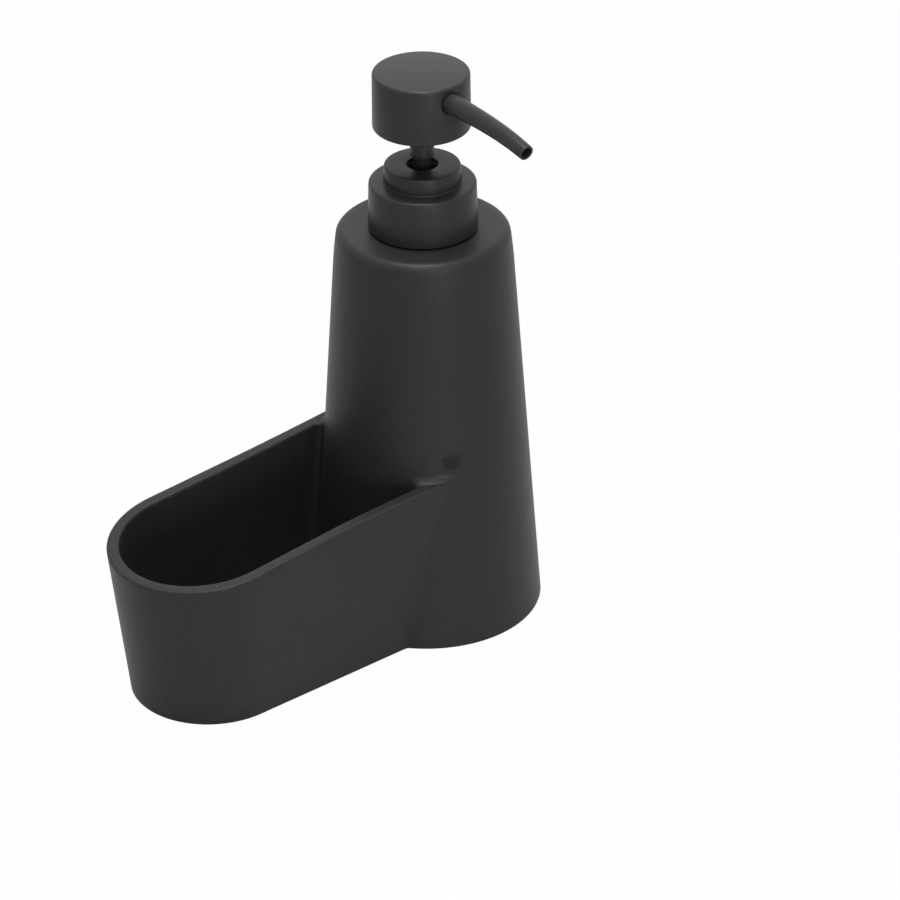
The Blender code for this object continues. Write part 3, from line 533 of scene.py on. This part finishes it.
def cast_rule(net, place, size):
    """Distance from the casting's skin: bottle and caddy, without the bottle's hollow."""
    x, y, z = net.separate(place)
    lean = net.maths("ARCTAN2", size["Base radius"] - size["Top radius"], size["Height"])
    upright = net.maths("COSINE", lean)
    up_bow = net.clamp((z - (size["Height"] - size["Bow height"])) / size["Bow height"])
    cone = net.length(x, y) - size["Base radius"] + size["Shoulder bow"] * up_bow * up_bow
    side = cone * upright + z * net.maths("SINE", lean)
    bottle = round_edge(net, side, z - size["Height"], size["Shoulder round"])

    tip = size["Rim reach"] + size["Rim end radius"]
    slope = size["Rim rise"] / tip
    along_bend = net.clamp((x + size["Bend start"]) / size["Bend run"], high=BEND_LIMIT)
    bend = along_bend * along_bend
    rim = size["Rim low"] + slope * (x + tip) - size["Rim dip"] * bend
    climb = (z - size["Underside"]) / (rim - size["Underside"])
    plan = caddy_plan(net, x, y, climb, size) - size["Rim flare"] * bend * climb
    flare = net.maths("ARCTAN2", size["Rim end radius"] - size["Foot end radius"], size["Rim low"])
    tilt = net.maths("COSINE", flare)
    ends = net.maths("MAXIMUM", plan * tilt, x - size["Caddy end"])
    level = net.maths("COSINE", net.maths("ARCTANGENT", slope))
    block = round_edge(net, ends, (z - rim) * level, size["Rim round"])

    inward = net.clamp(-plan / size["Wall"] * size["Fillet growth"])
    eased = inward * (2 - inward)
    soft = size["Outer fillet"] + (size["Rim fillet"] - size["Outer fillet"]) * eased
    joined = fillet(net, block, bottle, soft)

    room = round_edge(net, (plan + size["Wall"]) * tilt, -bottle, size["Inner fillet"])
    room = round_edge(net, room, size["Floor"] - z, size["Cavity round"])
    hollowed = round_edge(net, joined, -room, size["Rim round"])
    whole = net.maths("MINIMUM", hollowed, bottle)
    return round_edge(net, whole, size["Underside"] - z, size["Foot round"])


rule_net, rule_place, rule_sizes, rule_result = new_tree(
    "casting_distance",
    CAST_SIZES,
    ("Position", "NodeSocketVector"),
    ("Distance", "NodeSocketFloat"),
)
rule_net.plug(rule_result, cast_rule(rule_net, rule_place, rule_sizes))
cast_group = rule_net.tree
print("the rule takes", len(cast_group.nodes), "nodes")

# %% [markdown]
# A grid of small cubes samples the rule, and `Volume to Mesh` wraps a skin round the cubes that
# are inside. Each point of that skin is then moved onto the exact surface, down the slope of the
# distance, and the slope is stored as the true outward direction, so that round edges smaller
# than a cube or two still shade as cleanly as turned ones.

# %% The casting's skin
CELL = 0.0004
CELL_MERGE = 0.003
CELL_MARGIN = 0.003
CELL_OUTSIDE = -10.0
SLOPE_STEP = 0.00005
SKIN_MOVES = 2
grid_low = cast_low - Vector((CELL_MARGIN,) * 3)
grid_high = cast_high + Vector((CELL_MARGIN,) * 3)


def distance_at(net, place, size):
    inputs = {"Position": place, **size}
    return net.node("GeometryNodeGroup", {"node_tree": cast_group}, inputs, "Distance")


def slope_at(net, place, size):
    """The direction in which the distance grows fastest, by differences over a small step."""
    rises = []
    for axis in range(3):
        step = tuple(SLOPE_STEP if axis == other else 0.0 for other in range(3))
        ahead = distance_at(net, net.vector("ADD", place, step), size)
        behind = distance_at(net, net.vector("SUBTRACT", place, step), size)
        rises.append((ahead - behind) / (2 * SLOPE_STEP))
    return net.combine(*rises)


def cast_skin(net, size):
    """Wrap a skin round the cubes inside, move it onto the surface and store where outward is."""
    place = net.node("GeometryNodeInputPosition")
    density = distance_at(net, place, size) / -CELL
    cube = {"Density": density, "Background": CELL_OUTSIDE, "Min": grid_low, "Max": grid_high}
    for axis, low, high in zip("XYZ", grid_low, grid_high):
        cube[f"Resolution {axis}"] = round((high - low) / CELL)
    volume = net.node("GeometryNodeVolumeCube", {}, cube)
    wrap = {"Volume": volume, "Threshold": 0.0, "Adaptivity": CELL_MERGE}
    skin = net.node("GeometryNodeVolumeToMesh", {}, wrap)
    for _ in range(SKIN_MOVES):
        slope = slope_at(net, place, size)
        steepness = net.vector("DOT_PRODUCT", slope, slope, output="Value")
        share = -distance_at(net, place, size) / steepness
        scale = {"Vector": slope, "Scale": share}
        move = net.node("ShaderNodeVectorMath", {"operation": "SCALE"}, scale)
        skin = net.node("GeometryNodeSetPosition", {}, {"Geometry": skin, "Offset": move})
    outward = net.vector("NORMALIZE", slope_at(net, place, size))
    store = {"data_type": "FLOAT_VECTOR", "domain": "POINT"}
    stored = {"Geometry": skin, "Name": "outward", "Value": outward}
    return solid(net, net.node("GeometryNodeStoreNamedAttribute", store, stored), CAST_BLACK)


casting = from_tree("casting", cast_skin, CAST_SIZES, sharp=None)
print("casting skin:", len(casting.data.polygons), "faces")

# %% [markdown]
# ## Turned pieces
# The bottle's hollow, the collar, the small ring, the stem, the head and the neck are turned
# shapes. A turned shape is one profile, written as corners that each have a rounding, and a Screw
# modifier that takes it round the axis. The corners' arcs matter: real edges are never sharp, and
# on a black object they are what catches the light. Small edges share a few roundings, from CRISP
# to SOFT.

# %% A profile with rounded corners, and a Screw modifier
ARC_STEPS = 6
TURN_STEPS = 128
CRISP = 0.0001
FINE = 0.00015
BROKEN = 0.0002
EASED = 0.0003
SOFT = 0.0004


def rounded(corners, closed):
    """Points for (radius, height, rounding) corners: an arc wherever there is a rounding."""
    points = []
    count = len(corners)
    for index, (x, z, radius) in enumerate(corners):
        here = Vector((x, z))
        if radius == 0 or (not closed and index in (0, count - 1)):
            points.append(here)
            continue
        before = (Vector(corners[index - 1][:2]) - here).normalized()
        after = (Vector(corners[(index + 1) % count][:2]) - here).normalized()
        half = before.angle(after) / 2
        reach = radius / math.tan(half)
        centre = here + (before + after).normalized() * (radius / math.sin(half))
        start = here + before * reach - centre
        sweep = start.angle_signed(here + after * reach - centre)
        for step in range(ARC_STEPS + 1):
            turn = Matrix.Rotation(-sweep * step / ARC_STEPS, 2)
            points.append(centre + turn @ start)
    return points


def turned(name, corners):
    """A turned solid from corners that run down its outer side, closed by the axis or itself."""
    closed = corners[0][0] > 0
    points = rounded(corners, closed)
    edges = [(index, index + 1) for index in range(len(points) - 1)]
    if closed:
        edges.append((len(points) - 1, 0))
    mesh = bpy.data.meshes.new(name)
    mesh.from_pydata([(x, 0, z) for x, z in points], edges, [])
    obj = new_object(name, mesh)
    screw = obj.modifiers.new("turn", "SCREW")
    screw.steps = TURN_STEPS
    screw.render_steps = TURN_STEPS
    screw.use_merge_vertices = True
    screw.merge_threshold = MERGE
    return settle(obj)


def cut(piece, cutters, operation="DIFFERENCE", sharp=SHARP_ANGLE):
    """Cut settled meshes out of a piece, or join them to it, and clear them away."""
    for cutter in cutters:
        modifier = piece.modifiers.new(cutter.name, "BOOLEAN")
        modifier.operation = operation
        modifier.solver = "EXACT"
        modifier.object = cutter
    piece = settle(piece, sharp)
    for cutter in cutters:
        bpy.data.objects.remove(cutter, do_unlink=True)
    return piece


print("turning helpers ready")

# %% [markdown]
# ## The bottle's hollow and the recesses below
# The hollow has crisp edges at its mouth, so it is turned and cut out, and so are the two shallow
# recesses that the pads are glued into. The skin keeps its stored outward direction through the
# cut, and it becomes the skin's own shading; the cut faces have none stored and shade by their
# edges.

# %% Hollow the casting
FIT_GAP = 0.0003
BOTTLE_WALL = 0.0040
BOTTLE_FLOOR = 0.0058
SHOULDER_UNDERSIDE = 0.1263
MOUTH_RADIUS = 0.0133
MOUTH_ROUND = 0.0008
HOLLOW_ROUND = 0.0040
OVERRUN = 0.002
PAD_RECESS_TOP = 0.0015
SKIN_SHARP = math.radians(70)

lean = math.atan2(CAST_SIZES["Base radius"] - CAST_SIZES["Top radius"], CAST_SIZES["Height"])


def hollow_radius(level):
    straight = CAST_SIZES["Base radius"] - level * math.tan(lean)
    return straight - BOTTLE_WALL / math.cos(lean)


mouth = CAST_SIZES["Height"] + OVERRUN
hollow = turned("bottle_hollow", [
    (0, mouth, 0),
    (MOUTH_RADIUS, mouth, 0),
    (MOUTH_RADIUS, SHOULDER_UNDERSIDE, MOUTH_ROUND),
    (hollow_radius(SHOULDER_UNDERSIDE), SHOULDER_UNDERSIDE, HOLLOW_ROUND),
    (hollow_radius(BOTTLE_FLOOR), BOTTLE_FLOOR, HOLLOW_ROUND),
    (0, BOTTLE_FLOOR, 0),
])


def pad_plan(node, margin):
    """The outline of a pad: a circle, or a long oval if its box is longer than it is wide."""
    low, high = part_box(node)
    radius = (high.y - low.y) / 2
    points = []
    for index in range(TURN_STEPS):
        angle = 2 * math.pi * (index + 0.5) / TURN_STEPS
        middle = high.x - radius if math.cos(angle) > 0 else low.x + radius
        spread = radius + margin
        points.append((middle + spread * math.cos(angle), spread * math.sin(angle)))
    return points


def plate(name, outline, bottom, top):
    """A flat plate from an outline: a filled 2D curve with a thickness."""
    curve = bpy.data.curves.new(name, "CURVE")
    curve.dimensions = "2D"
    curve.fill_mode = "BOTH"
    curve.extrude = (top - bottom) / 2
    spline = curve.splines.new("POLY")
    spline.points.add(len(outline) - 1)
    for point, (x, y) in zip(spline.points, outline):
        point.co = (x, y, 0, 1)
    spline.use_cyclic_u = True
    obj = new_object(name, curve)
    obj.location.z = (bottom + top) / 2
    obj = settle(obj)
    shape = bmesh.new()
    shape.from_mesh(obj.data)
    bmesh.ops.remove_doubles(shape, verts=shape.verts, dist=MERGE)
    shape.to_mesh(obj.data)
    shape.free()
    return obj


cutters = [hollow]
for node in ("bottle_pad", "caddy_pad"):
    cutters.append(plate(node + "_recess", pad_plan(node, FIT_GAP), -OVERRUN, PAD_RECESS_TOP))
casting = cut(casting, cutters, sharp=SKIN_SHARP)

skin = casting.data
outward = [tuple(value.vector) for value in skin.attributes["outward"].data]
skin.normals_split_custom_set([outward[loop.vertex_index] for loop in skin.loops])
skin.attributes.remove(skin.attributes["outward"])
dress(casting, "body_shell", "body", CAST_BLACK)

# %% [markdown]
# ## The pads
# Two soft pads keep the dispenser from sliding. Each is a die-cut plate with a slightly broken
# edge.


# %% Make the pads
def broken_edges(piece, width, segments=2):
    """Break a piece's hard edges with a small bevel."""
    bevel = piece.modifiers.new("edges", "BEVEL")
    bevel.width = width
    bevel.segments = segments
    bevel.limit_method = "ANGLE"
    bevel.angle_limit = SHARP_ANGLE
    bevel.use_clamp_overlap = True
    bevel.harden_normals = False
    return settle(piece)


for node in ("bottle_pad", "caddy_pad"):
    low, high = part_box(node)
    pad = broken_edges(plate(node + "_soft", pad_plan(node, 0.0), low.z, high.z), BROKEN)
    dress(pad, node, "body", DULL_RUBBER)

# %% [markdown]
# ## The collar and the small ring
# The collar is a deep cup, a little wider at its foot, with a thin raised lip under the small
# ring. The small ring is a shallow cup with a hole that is wider than the stem, so a dark gap
# shows round the stem. Their outer sizes are read from the plain model, and the walls, the lip
# and the roundings are new.

# %% Turn the collar
collar_low, collar_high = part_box("collar_cover")
COLLAR_TOP_RADIUS = 0.01658
COLLAR_WALL = 0.0011
COLLAR_ROOF = 0.0010
COLLAR_LIP_RADIUS = 0.0122
COLLAR_LIP = 0.00065
COLLAR_LIP_SUNK = 0.00035
COLLAR_ROUND = 0.0009
COLLAR_INNER_ROUND = 0.0005
COLLAR_HOLE = 0.0093
collar_roof = collar_high.z - COLLAR_LIP_SUNK
lip_top = collar_roof + COLLAR_LIP
collar = turned("collar", [
    (COLLAR_HOLE, lip_top, CRISP),
    (COLLAR_LIP_RADIUS, lip_top, EASED),
    (COLLAR_LIP_RADIUS, collar_roof, CRISP),
    (COLLAR_TOP_RADIUS, collar_roof, COLLAR_ROUND),
    (collar_high.x, collar_low.z, EASED),
    (collar_high.x - COLLAR_WALL, collar_low.z, BROKEN),
    (COLLAR_TOP_RADIUS - COLLAR_WALL, collar_roof - COLLAR_ROOF, COLLAR_INNER_ROUND),
    (COLLAR_HOLE, collar_roof - COLLAR_ROOF, CRISP),
])
dress(collar, "collar_cover", "closure", MOULDED_BLACK)

# %% Turn the small ring
ring_low, ring_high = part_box("upper_ring")
RING_TOP_RADIUS = 0.01175
RING_HOLE = 0.0049
RING_WALL = 0.0010
RING_ROOF = 0.0009
RING_ROUND = 0.0007
ring = turned("small_ring", [
    (RING_HOLE, ring_high.z, BROKEN),
    (RING_TOP_RADIUS, ring_high.z, RING_ROUND),
    (ring_high.x, ring_low.z, BROKEN),
    (ring_high.x - RING_WALL, ring_low.z, CRISP),
    (RING_TOP_RADIUS - RING_WALL, ring_high.z - RING_ROOF, EASED),
    (RING_HOLE, ring_high.z - RING_ROOF, CRISP),
])
dress(ring, "upper_ring", "pump", MOULDED_BLACK)

# %% [markdown]
# ## The stem
# The stem is a thin tube that disappears in the small ring. Its upper part, which fits in the
# head, is wider and ends in a small bead just over the ring. The stop lower down, inside the
# housing, is what holds the head at the top of its stroke.

# %% Turn the stem
stem_low, stem_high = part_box("pump_stem")
STEM_RADIUS = 0.0027
STEM_BORE = 0.0020
STEM_HUB_RADIUS = 0.0037
STEM_BEAD_RADIUS = 0.0038
STEM_BEAD = 0.0008
STEM_HUB_BOTTOM = 0.15645
STEM_STOP_TOP = 0.13895
STEM_STOP = 0.0010
stem = turned("stem", [
    (STEM_BORE, stem_high.z, BROKEN),
    (STEM_HUB_RADIUS, stem_high.z, BROKEN),
    (STEM_HUB_RADIUS, STEM_HUB_BOTTOM + STEM_BEAD, CRISP),
    (STEM_BEAD_RADIUS, STEM_HUB_BOTTOM + STEM_BEAD, BROKEN),
    (STEM_BEAD_RADIUS, STEM_HUB_BOTTOM, EASED),
    (STEM_RADIUS, STEM_HUB_BOTTOM, BROKEN),
    (STEM_RADIUS, STEM_STOP_TOP, CRISP),
    (stem_high.x, STEM_STOP_TOP, BROKEN),
    (stem_high.x, STEM_STOP_TOP - STEM_STOP, BROKEN),
    (STEM_RADIUS, STEM_STOP_TOP - STEM_STOP, CRISP),
    (STEM_RADIUS, stem_low.z, BROKEN),
    (STEM_BORE, stem_low.z, BROKEN),
])
dress(stem, "pump_stem", "head", MOULDED_BLACK)

# %% [markdown]
# ## The head
# The head is a plain cup, upside down, with a small rounding round its flat top. The spout comes
# out through a hole that is a little too large for it, which leaves a dark ring round its root.

# %% Turn the head and drill it
head_low, head_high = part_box("head_shell")
HEAD_WALL = 0.0010
HEAD_ROOF = 0.0012
HEAD_ROUND = 0.0009
HEAD_TAPER = 0.0001
HEAD_FOOT_ROUND = 0.0008
SPOUT_BELOW_TOP = 0.0052
SPOUT_HEIGHT = head_high.z - SPOUT_BELOW_TOP
SPOUT_ROOT = 0.0032
SPOUT_HOLE_GAP = 0.0003
SPOUT_HOLE_SIDES = 64
head = turned("head_cup", [
    (0, head_high.z, 0),
    (head_high.x - HEAD_TAPER, head_high.z, HEAD_ROUND),
    (head_high.x + HEAD_TAPER, head_low.z, HEAD_FOOT_ROUND),
    (head_high.x - HEAD_WALL, head_low.z, CRISP),
    (head_high.x - HEAD_WALL, head_high.z - HEAD_ROOF, SOFT),
    (0, head_high.z - HEAD_ROOF, 0),
])
hole_length = head_high.x + OVERRUN
hole_radius = SPOUT_ROOT + SPOUT_HOLE_GAP
hole = bpy.data.meshes.new("spout_hole")
shape = bmesh.new()
bmesh.ops.create_cone(
    shape,
    cap_ends=True,
    segments=SPOUT_HOLE_SIDES,
    radius1=hole_radius,
    radius2=hole_radius,
    depth=hole_length,
)
shape.to_mesh(hole)
shape.free()
drill = new_object("spout_hole", hole)
hole_middle = Matrix.Translation((0, -hole_length / 2, SPOUT_HEIGHT))
drill.matrix_world = hole_middle @ Matrix.Rotation(math.pi / 2, 4, "X")
head = broken_edges(cut(head, [drill]), FINE)
dress(head, "head_shell", "head", MOULDED_BLACK)

# %% [markdown]
# ## Pieces that follow a path
# The spout, the thread on the neck and the spring are all a round section on a path, so the trees
# of all three use `path` and `sweep`. The path is a straight line with many points, which a rule
# then moves into place: `share` is how far along a point is, from 0 to 1. The section's size
# follows a rule as well.


# %% A section on a path that follows a rule
def path(net, count, rule):
    """A line of points that a rule of the share along it moves into place."""
    line = net.node("GeometryNodeCurvePrimitiveLine")
    line = net.node("GeometryNodeResampleCurve", {}, {"Curve": line, "Count": count})
    share = net.node("GeometryNodeSplineParameter", output="Factor")
    place = net.combine(*rule(net, share))
    return net.node("GeometryNodeSetPosition", {}, {"Geometry": line, "Position": place})


def sweep(net, line, radius, sides):
    """A closed round solid along a line."""
    circle = {"Resolution": sides, "Radius": 1.0}
    section = net.node("GeometryNodeCurvePrimitiveCircle", {}, circle, "Curve")
    swept = {"Curve": line, "Profile Curve": section, "Scale": radius, "Fill Caps": True}
    return net.node("GeometryNodeCurveToMesh", {}, swept)


print("path helpers ready")

# %% [markdown]
# The spout leaves the head level and droops faster and faster, as the cube of the way along it.
# It tapers evenly to its tip, and its bore is a second, thinner sweep that is cut out of it.

# %% Sweep the spout
spout_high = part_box("spout_tube")[1]
SPOUT_SIZES = {
    "Start": head_high.x - HEAD_WALL,
    "Face": head_high.x,
    "Reach": 0.0508,
    "Level": SPOUT_HEIGHT,
    "Droop": 0.0028,
    "Root radius": SPOUT_ROOT,
    "Tip radius": 0.0024,
    "Root bore": 0.0017,
    "Tip bore": 0.0018,
    "Spigot radius": 0.0024,
    "Spigot end": -spout_high.y,
}
SPOUT_POINTS = 60
SPOUT_SIDES = 48
SPIGOT_POINTS = 4
BORE_POINTS = 70
BORE_SIDES = 32
SPOUT_OVERLAP = 0.001
SPOUT_EDGE_SEGMENTS = 3


def spout_tree(net, size):
    """The tapered tube, joined to its spigot in the head, with a bore through both."""
    def centre(reach_from, reach_to):
        def rule(net, share):
            reach = reach_from + (reach_to - reach_from) * share
            way_out = (reach - size["Face"]) / (size["Reach"] - size["Face"])
            out = net.maths("MAXIMUM", way_out, 0.0)
            return 0.0, -reach, size["Level"] - size["Droop"] * out * out * out
        return rule

    share = net.node("GeometryNodeSplineParameter", output="Factor")
    outside = size["Root radius"] + (size["Tip radius"] - size["Root radius"]) * share
    tube = path(net, SPOUT_POINTS, centre(size["Start"], size["Reach"]))
    body = sweep(net, tube, outside, SPOUT_SIDES)
    in_head = centre(size["Spigot end"], size["Start"] + SPOUT_OVERLAP)
    spigot = sweep(net, path(net, SPIGOT_POINTS, in_head), size["Spigot radius"], SPOUT_SIDES)
    bore = size["Root bore"] + (size["Tip bore"] - size["Root bore"]) * share
    through = centre(size["Spigot end"] - SPOUT_OVERLAP, size["Reach"] + SPOUT_OVERLAP)
    inside = sweep(net, path(net, BORE_POINTS, through), bore, BORE_SIDES)
    union = {"operation": "UNION", "solver": "EXACT"}
    joined = net.node("GeometryNodeMeshBoolean", union, {1: body}, "Mesh")
    net.plug(joined.socket.node.inputs[1], spigot)
    difference = {"operation": "DIFFERENCE", "solver": "EXACT"}
    bored = net.node("GeometryNodeMeshBoolean", difference, {0: joined, 1: inside}, "Mesh")
    return solid(net, bored, MOULDED_BLACK)


spout = from_tree("spout", spout_tree, SPOUT_SIZES)
spout = broken_edges(spout, BROKEN, SPOUT_EDGE_SEGMENTS)
dress(spout, "spout_tube", "head", MOULDED_BLACK)

# %% [markdown]
# ## The neck and its thread
# The neck insert is turned, and its thread is a round ridge that climbs one and a quarter turns.
# The ridge thins out at both ends, as a moulded thread does.

# %% Turn the neck and sweep its thread
insert_low, insert_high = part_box("neck_insert")
NECK_RADIUS = 0.0126
NECK_BORE = 0.0104
PLUG_RADIUS = 0.0130
FLANGE_BASE = 0.1326
FLANGE_TOP = 0.1336
neck = turned("neck", [
    (NECK_BORE, insert_high.z, EASED),
    (NECK_RADIUS, insert_high.z, SOFT),
    (NECK_RADIUS, FLANGE_TOP, EASED),
    (insert_high.x, FLANGE_TOP, BROKEN),
    (insert_high.x, FLANGE_BASE, BROKEN),
    (PLUG_RADIUS, FLANGE_BASE, CRISP),
    (PLUG_RADIUS, insert_low.z, SOFT),
    (NECK_BORE, insert_low.z, EASED),
])
THREAD_OVER_FLANGE = 0.0024
THREAD_SIZES = {
    "Radius": NECK_RADIUS,
    "Start": FLANGE_TOP + THREAD_OVER_FLANGE,
    "Pitch": 0.0042,
    "Turns": 1.25,
    "Ridge": 0.0011,
    "Run out": 0.13,
}
THREAD_POINTS = 96
THREAD_SIDES = 16
THREAD_THINNEST = 0.1


def thread_tree(net, size):
    """A round ridge on a helix, thinner towards both ends."""
    def rule(net, share):
        angle = share * size["Turns"] * math.tau
        x = net.maths("COSINE", angle) * size["Radius"]
        y = net.maths("SINE", angle) * size["Radius"]
        return x, y, size["Start"] + share * size["Turns"] * size["Pitch"]

    share = net.node("GeometryNodeSplineParameter", output="Factor")
    ends = net.maths("MINIMUM", share, 1 - share) / size["Run out"]
    thin = net.clamp(ends, low=THREAD_THINNEST)
    helix = path(net, THREAD_POINTS, rule)
    return solid(net, sweep(net, helix, size["Ridge"] * thin, THREAD_SIDES), WHITE_MOULDING)


neck = cut(neck, [from_tree("thread", thread_tree, THREAD_SIZES)], "UNION")
dress(neck, "neck_insert", "body", WHITE_MOULDING)

# %% [markdown]
# ## The return spring
# The spring has eight turns of 1 mm wire. Its first and last turns lie close, so that it stands
# flat on the ball's cage and under the stem's plug, and the six between share the rest of the
# height.

# %% Wind the spring
spring_low, spring_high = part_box("return_spring")
WIRE = 0.0005
SPRING_SIZES = {
    "Radius": 0.0044,
    "Low": spring_low.z + WIRE,
    "High": spring_high.z - WIRE,
    "Wire": WIRE,
    "Turns": 8.0,
    "End pitch": 2 * WIRE + FIT_GAP,
}
SPRING_POINTS = 290
SPRING_SIDES = 12


def spring_tree(net, size):
    """Round wire on a helix, whose first and last turns lie close."""
    def rule(net, share):
        turn = share * size["Turns"]
        open_turns = size["Turns"] - 2
        middle = net.clamp(turn - 1, high=open_turns)
        pitch = (size["High"] - size["Low"] - size["End pitch"] * 2) / open_turns
        angle = turn * math.tau
        x = net.maths("COSINE", angle) * size["Radius"]
        y = net.maths("SINE", angle) * size["Radius"]
        return x, y, size["Low"] + middle * pitch + (turn - middle) * size["End pitch"]

    coil = sweep(net, path(net, SPRING_POINTS, rule), size["Wire"], SPRING_SIDES)
    return solid(net, coil, STAINLESS_STEEL)


spring = from_tree("spring", spring_tree, SPRING_SIZES)
dress(spring, "return_spring", "pump", STAINLESS_STEEL)
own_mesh(spring)

# %% [markdown]
# ## The pieces inside
# The other pieces hide in the neck, the bottle and the head. Their plain shapes are right, but
# they are faceted and have hard edges. A copy of each is welded, its flat triangles are
# dissolved, its edges are broken and its round faces are shaded smooth.

# %% Refine the inner pieces
FLAT_ANGLE = math.radians(1)
INSIDE = {
    "closure_cap": ("closure", "white_plastic", WHITE_MOULDING, BROKEN),
    "housing_gasket": ("pump", "soft_rubber", DULL_RUBBER, FINE),
    "lock_ring": ("pump", "pump_black", MOULDED_BLACK, FINE),
    "stem_wiper": ("pump", "soft_rubber", DULL_RUBBER, CRISP),
    "pump_housing": ("pump", "clear_plastic", MILKY_MOULDING, FINE),
    "ball_valve": ("inlet_ball", "bright_steel", STAINLESS_STEEL, None),
    "ball_cage": ("pump", "white_plastic", WHITE_MOULDING, CRISP),
    "dip_tube": ("pump", "clear_plastic", MILKY_MOULDING, CRISP),
    "piston_seal": ("piston", "white_plastic", WHITE_MOULDING, CRISP),
    "piston_rod": ("head", "white_plastic", WHITE_MOULDING, CRISP),
    "head_core": ("head", "pump_black", MOULDED_BLACK, FINE),
}


def refined(node, edge):
    """A welded copy of a plain piece, with its hard edges broken by this width."""
    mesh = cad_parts[node].data.copy()
    mesh.transform(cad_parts[node].matrix_world)
    shape = bmesh.new()
    shape.from_mesh(mesh)
    bmesh.ops.remove_doubles(shape, verts=shape.verts, dist=MERGE)
    bmesh.ops.dissolve_limit(
        shape, angle_limit=FLAT_ANGLE, verts=shape.verts, edges=shape.edges
    )
    shape.to_mesh(mesh)
    shape.free()
    piece = new_object(node + "_fine", mesh)
    return broken_edges(piece, edge, segments=1) if edge else settle(piece)


for node, (body, slot, material, edge) in INSIDE.items():
    dress(refined(node, edge), node, body, material)

# %% [markdown]
# ## Floor, light and background
# The photograph has a plain white ground and soft light from all round, which is what draws the
# bright lines along the casting's sides. The floor shows almost white to the camera and keeps a
# trace of its soft shadow. In the object's own gloss the lit floor counts for more than half,
# because a white one would make the lower sides too light.

# %% The floor
FLOOR_SIZE = 6.0
FLOOR_COLOUR = (0.80, 0.80, 0.80)
WHITE = (1.0, 1.0, 1.0)
FLOOR_SEEN_WHITE = 0.98
FLOOR_MIRRORED_WHITE = 0.45


def looked_at(net, straight, mirrored):
    """One share for what the camera sees straight, and one in gloss or glass; 0 for all else."""
    kinds = ("Is Camera Ray", "Is Glossy Ray", "Is Transmission Ray")
    camera_ray, glossy_ray, glass_ray = [
        net.node("ShaderNodeLightPath", output=kind) for kind in kinds
    ]
    indirect = net.maths("MAXIMUM", glossy_ray, glass_ray) * mirrored
    return net.maths("MAXIMUM", camera_ray * straight, indirect)


floor_mesh = bpy.data.meshes.new("floor")
shape = bmesh.new()
bmesh.ops.create_grid(shape, x_segments=1, y_segments=1, size=FLOOR_SIZE / 2)
shape.to_mesh(floor_mesh)
shape.free()
floor = new_object("floor", floor_mesh)
floor_material = bpy.data.materials.new("white_floor")
floor_material.use_nodes = True
floor_nodes = floor_material.node_tree.nodes
floor_nodes.remove(floor_nodes["Principled BSDF"])
floor_net = Net(floor_material.node_tree)
lit = floor_net.node("ShaderNodeBsdfDiffuse", {}, {"Color": FLOOR_COLOUR})
white = floor_net.node("ShaderNodeEmission", {}, {"Color": WHITE, "Strength": 1.0})
seen = looked_at(floor_net, FLOOR_SEEN_WHITE, FLOOR_MIRRORED_WHITE)
mixed = floor_net.node("ShaderNodeMixShader", {}, {0: seen, 1: lit, 2: white})
floor_net.plug(floor_nodes["Material Output"].inputs["Surface"], mixed)
floor_mesh.materials.append(floor_material)
print("floor is", FLOOR_SIZE, "m wide")

# %% The background
WORLD_LIGHT = 0.02
WORLD_SEEN_WHITE = 0.99
world = bpy.data.worlds.new("studio")
world.use_nodes = True
world_net = Net(world.node_tree)
backdrop = world.node_tree.nodes["Background"]
backdrop.inputs["Color"].default_value = (*WHITE, 1)
shown = looked_at(world_net, WORLD_SEEN_WHITE, WORLD_SEEN_WHITE)
world_net.plug(backdrop.inputs["Strength"], world_net.maths("MAXIMUM", shown, WORLD_LIGHT))
bpy.context.scene.world = world
bpy.context.scene.view_settings.view_transform = "Standard"
print("background ready")

# %% [markdown]
# A soft lamp straight above and a weaker one high in front draw the bright edges. One low in
# front draws the faint light band down the bottle and fills in the upright sides, which mostly
# mirror the white floor, and a very weak one behind lights the far edges.

# %% Lamps
AIM = Vector((-0.02, 0.0, 0.09))
LAMPS = {
    "top_lamp": {"place": (0.0, 0.0, 1.3), "size": 0.6, "power": 11.8},
    "high_lamp": {"place": (-0.42, -0.72, 1.09), "size": 0.6, "power": 3.6},
    "back_lamp": {"place": (0.75, 0.95, 0.85), "size": 1.2, "power": 0.5},
    "front_lamp": {"place": (-0.36, -1.13, 0.15), "size": 0.45, "power": 3.6},
}
for name, given in LAMPS.items():
    data = bpy.data.lights.new(name, "AREA")
    data.shape = "DISK"
    data.size = given["size"]
    data.energy = given["power"]
    lamp = new_object(name, data)
    lamp.location = given["place"]
    lamp.rotation_euler = (AIM - Vector(given["place"])).to_track_quat("-Z", "Y").to_euler()
print("lamps:", *LAMPS)
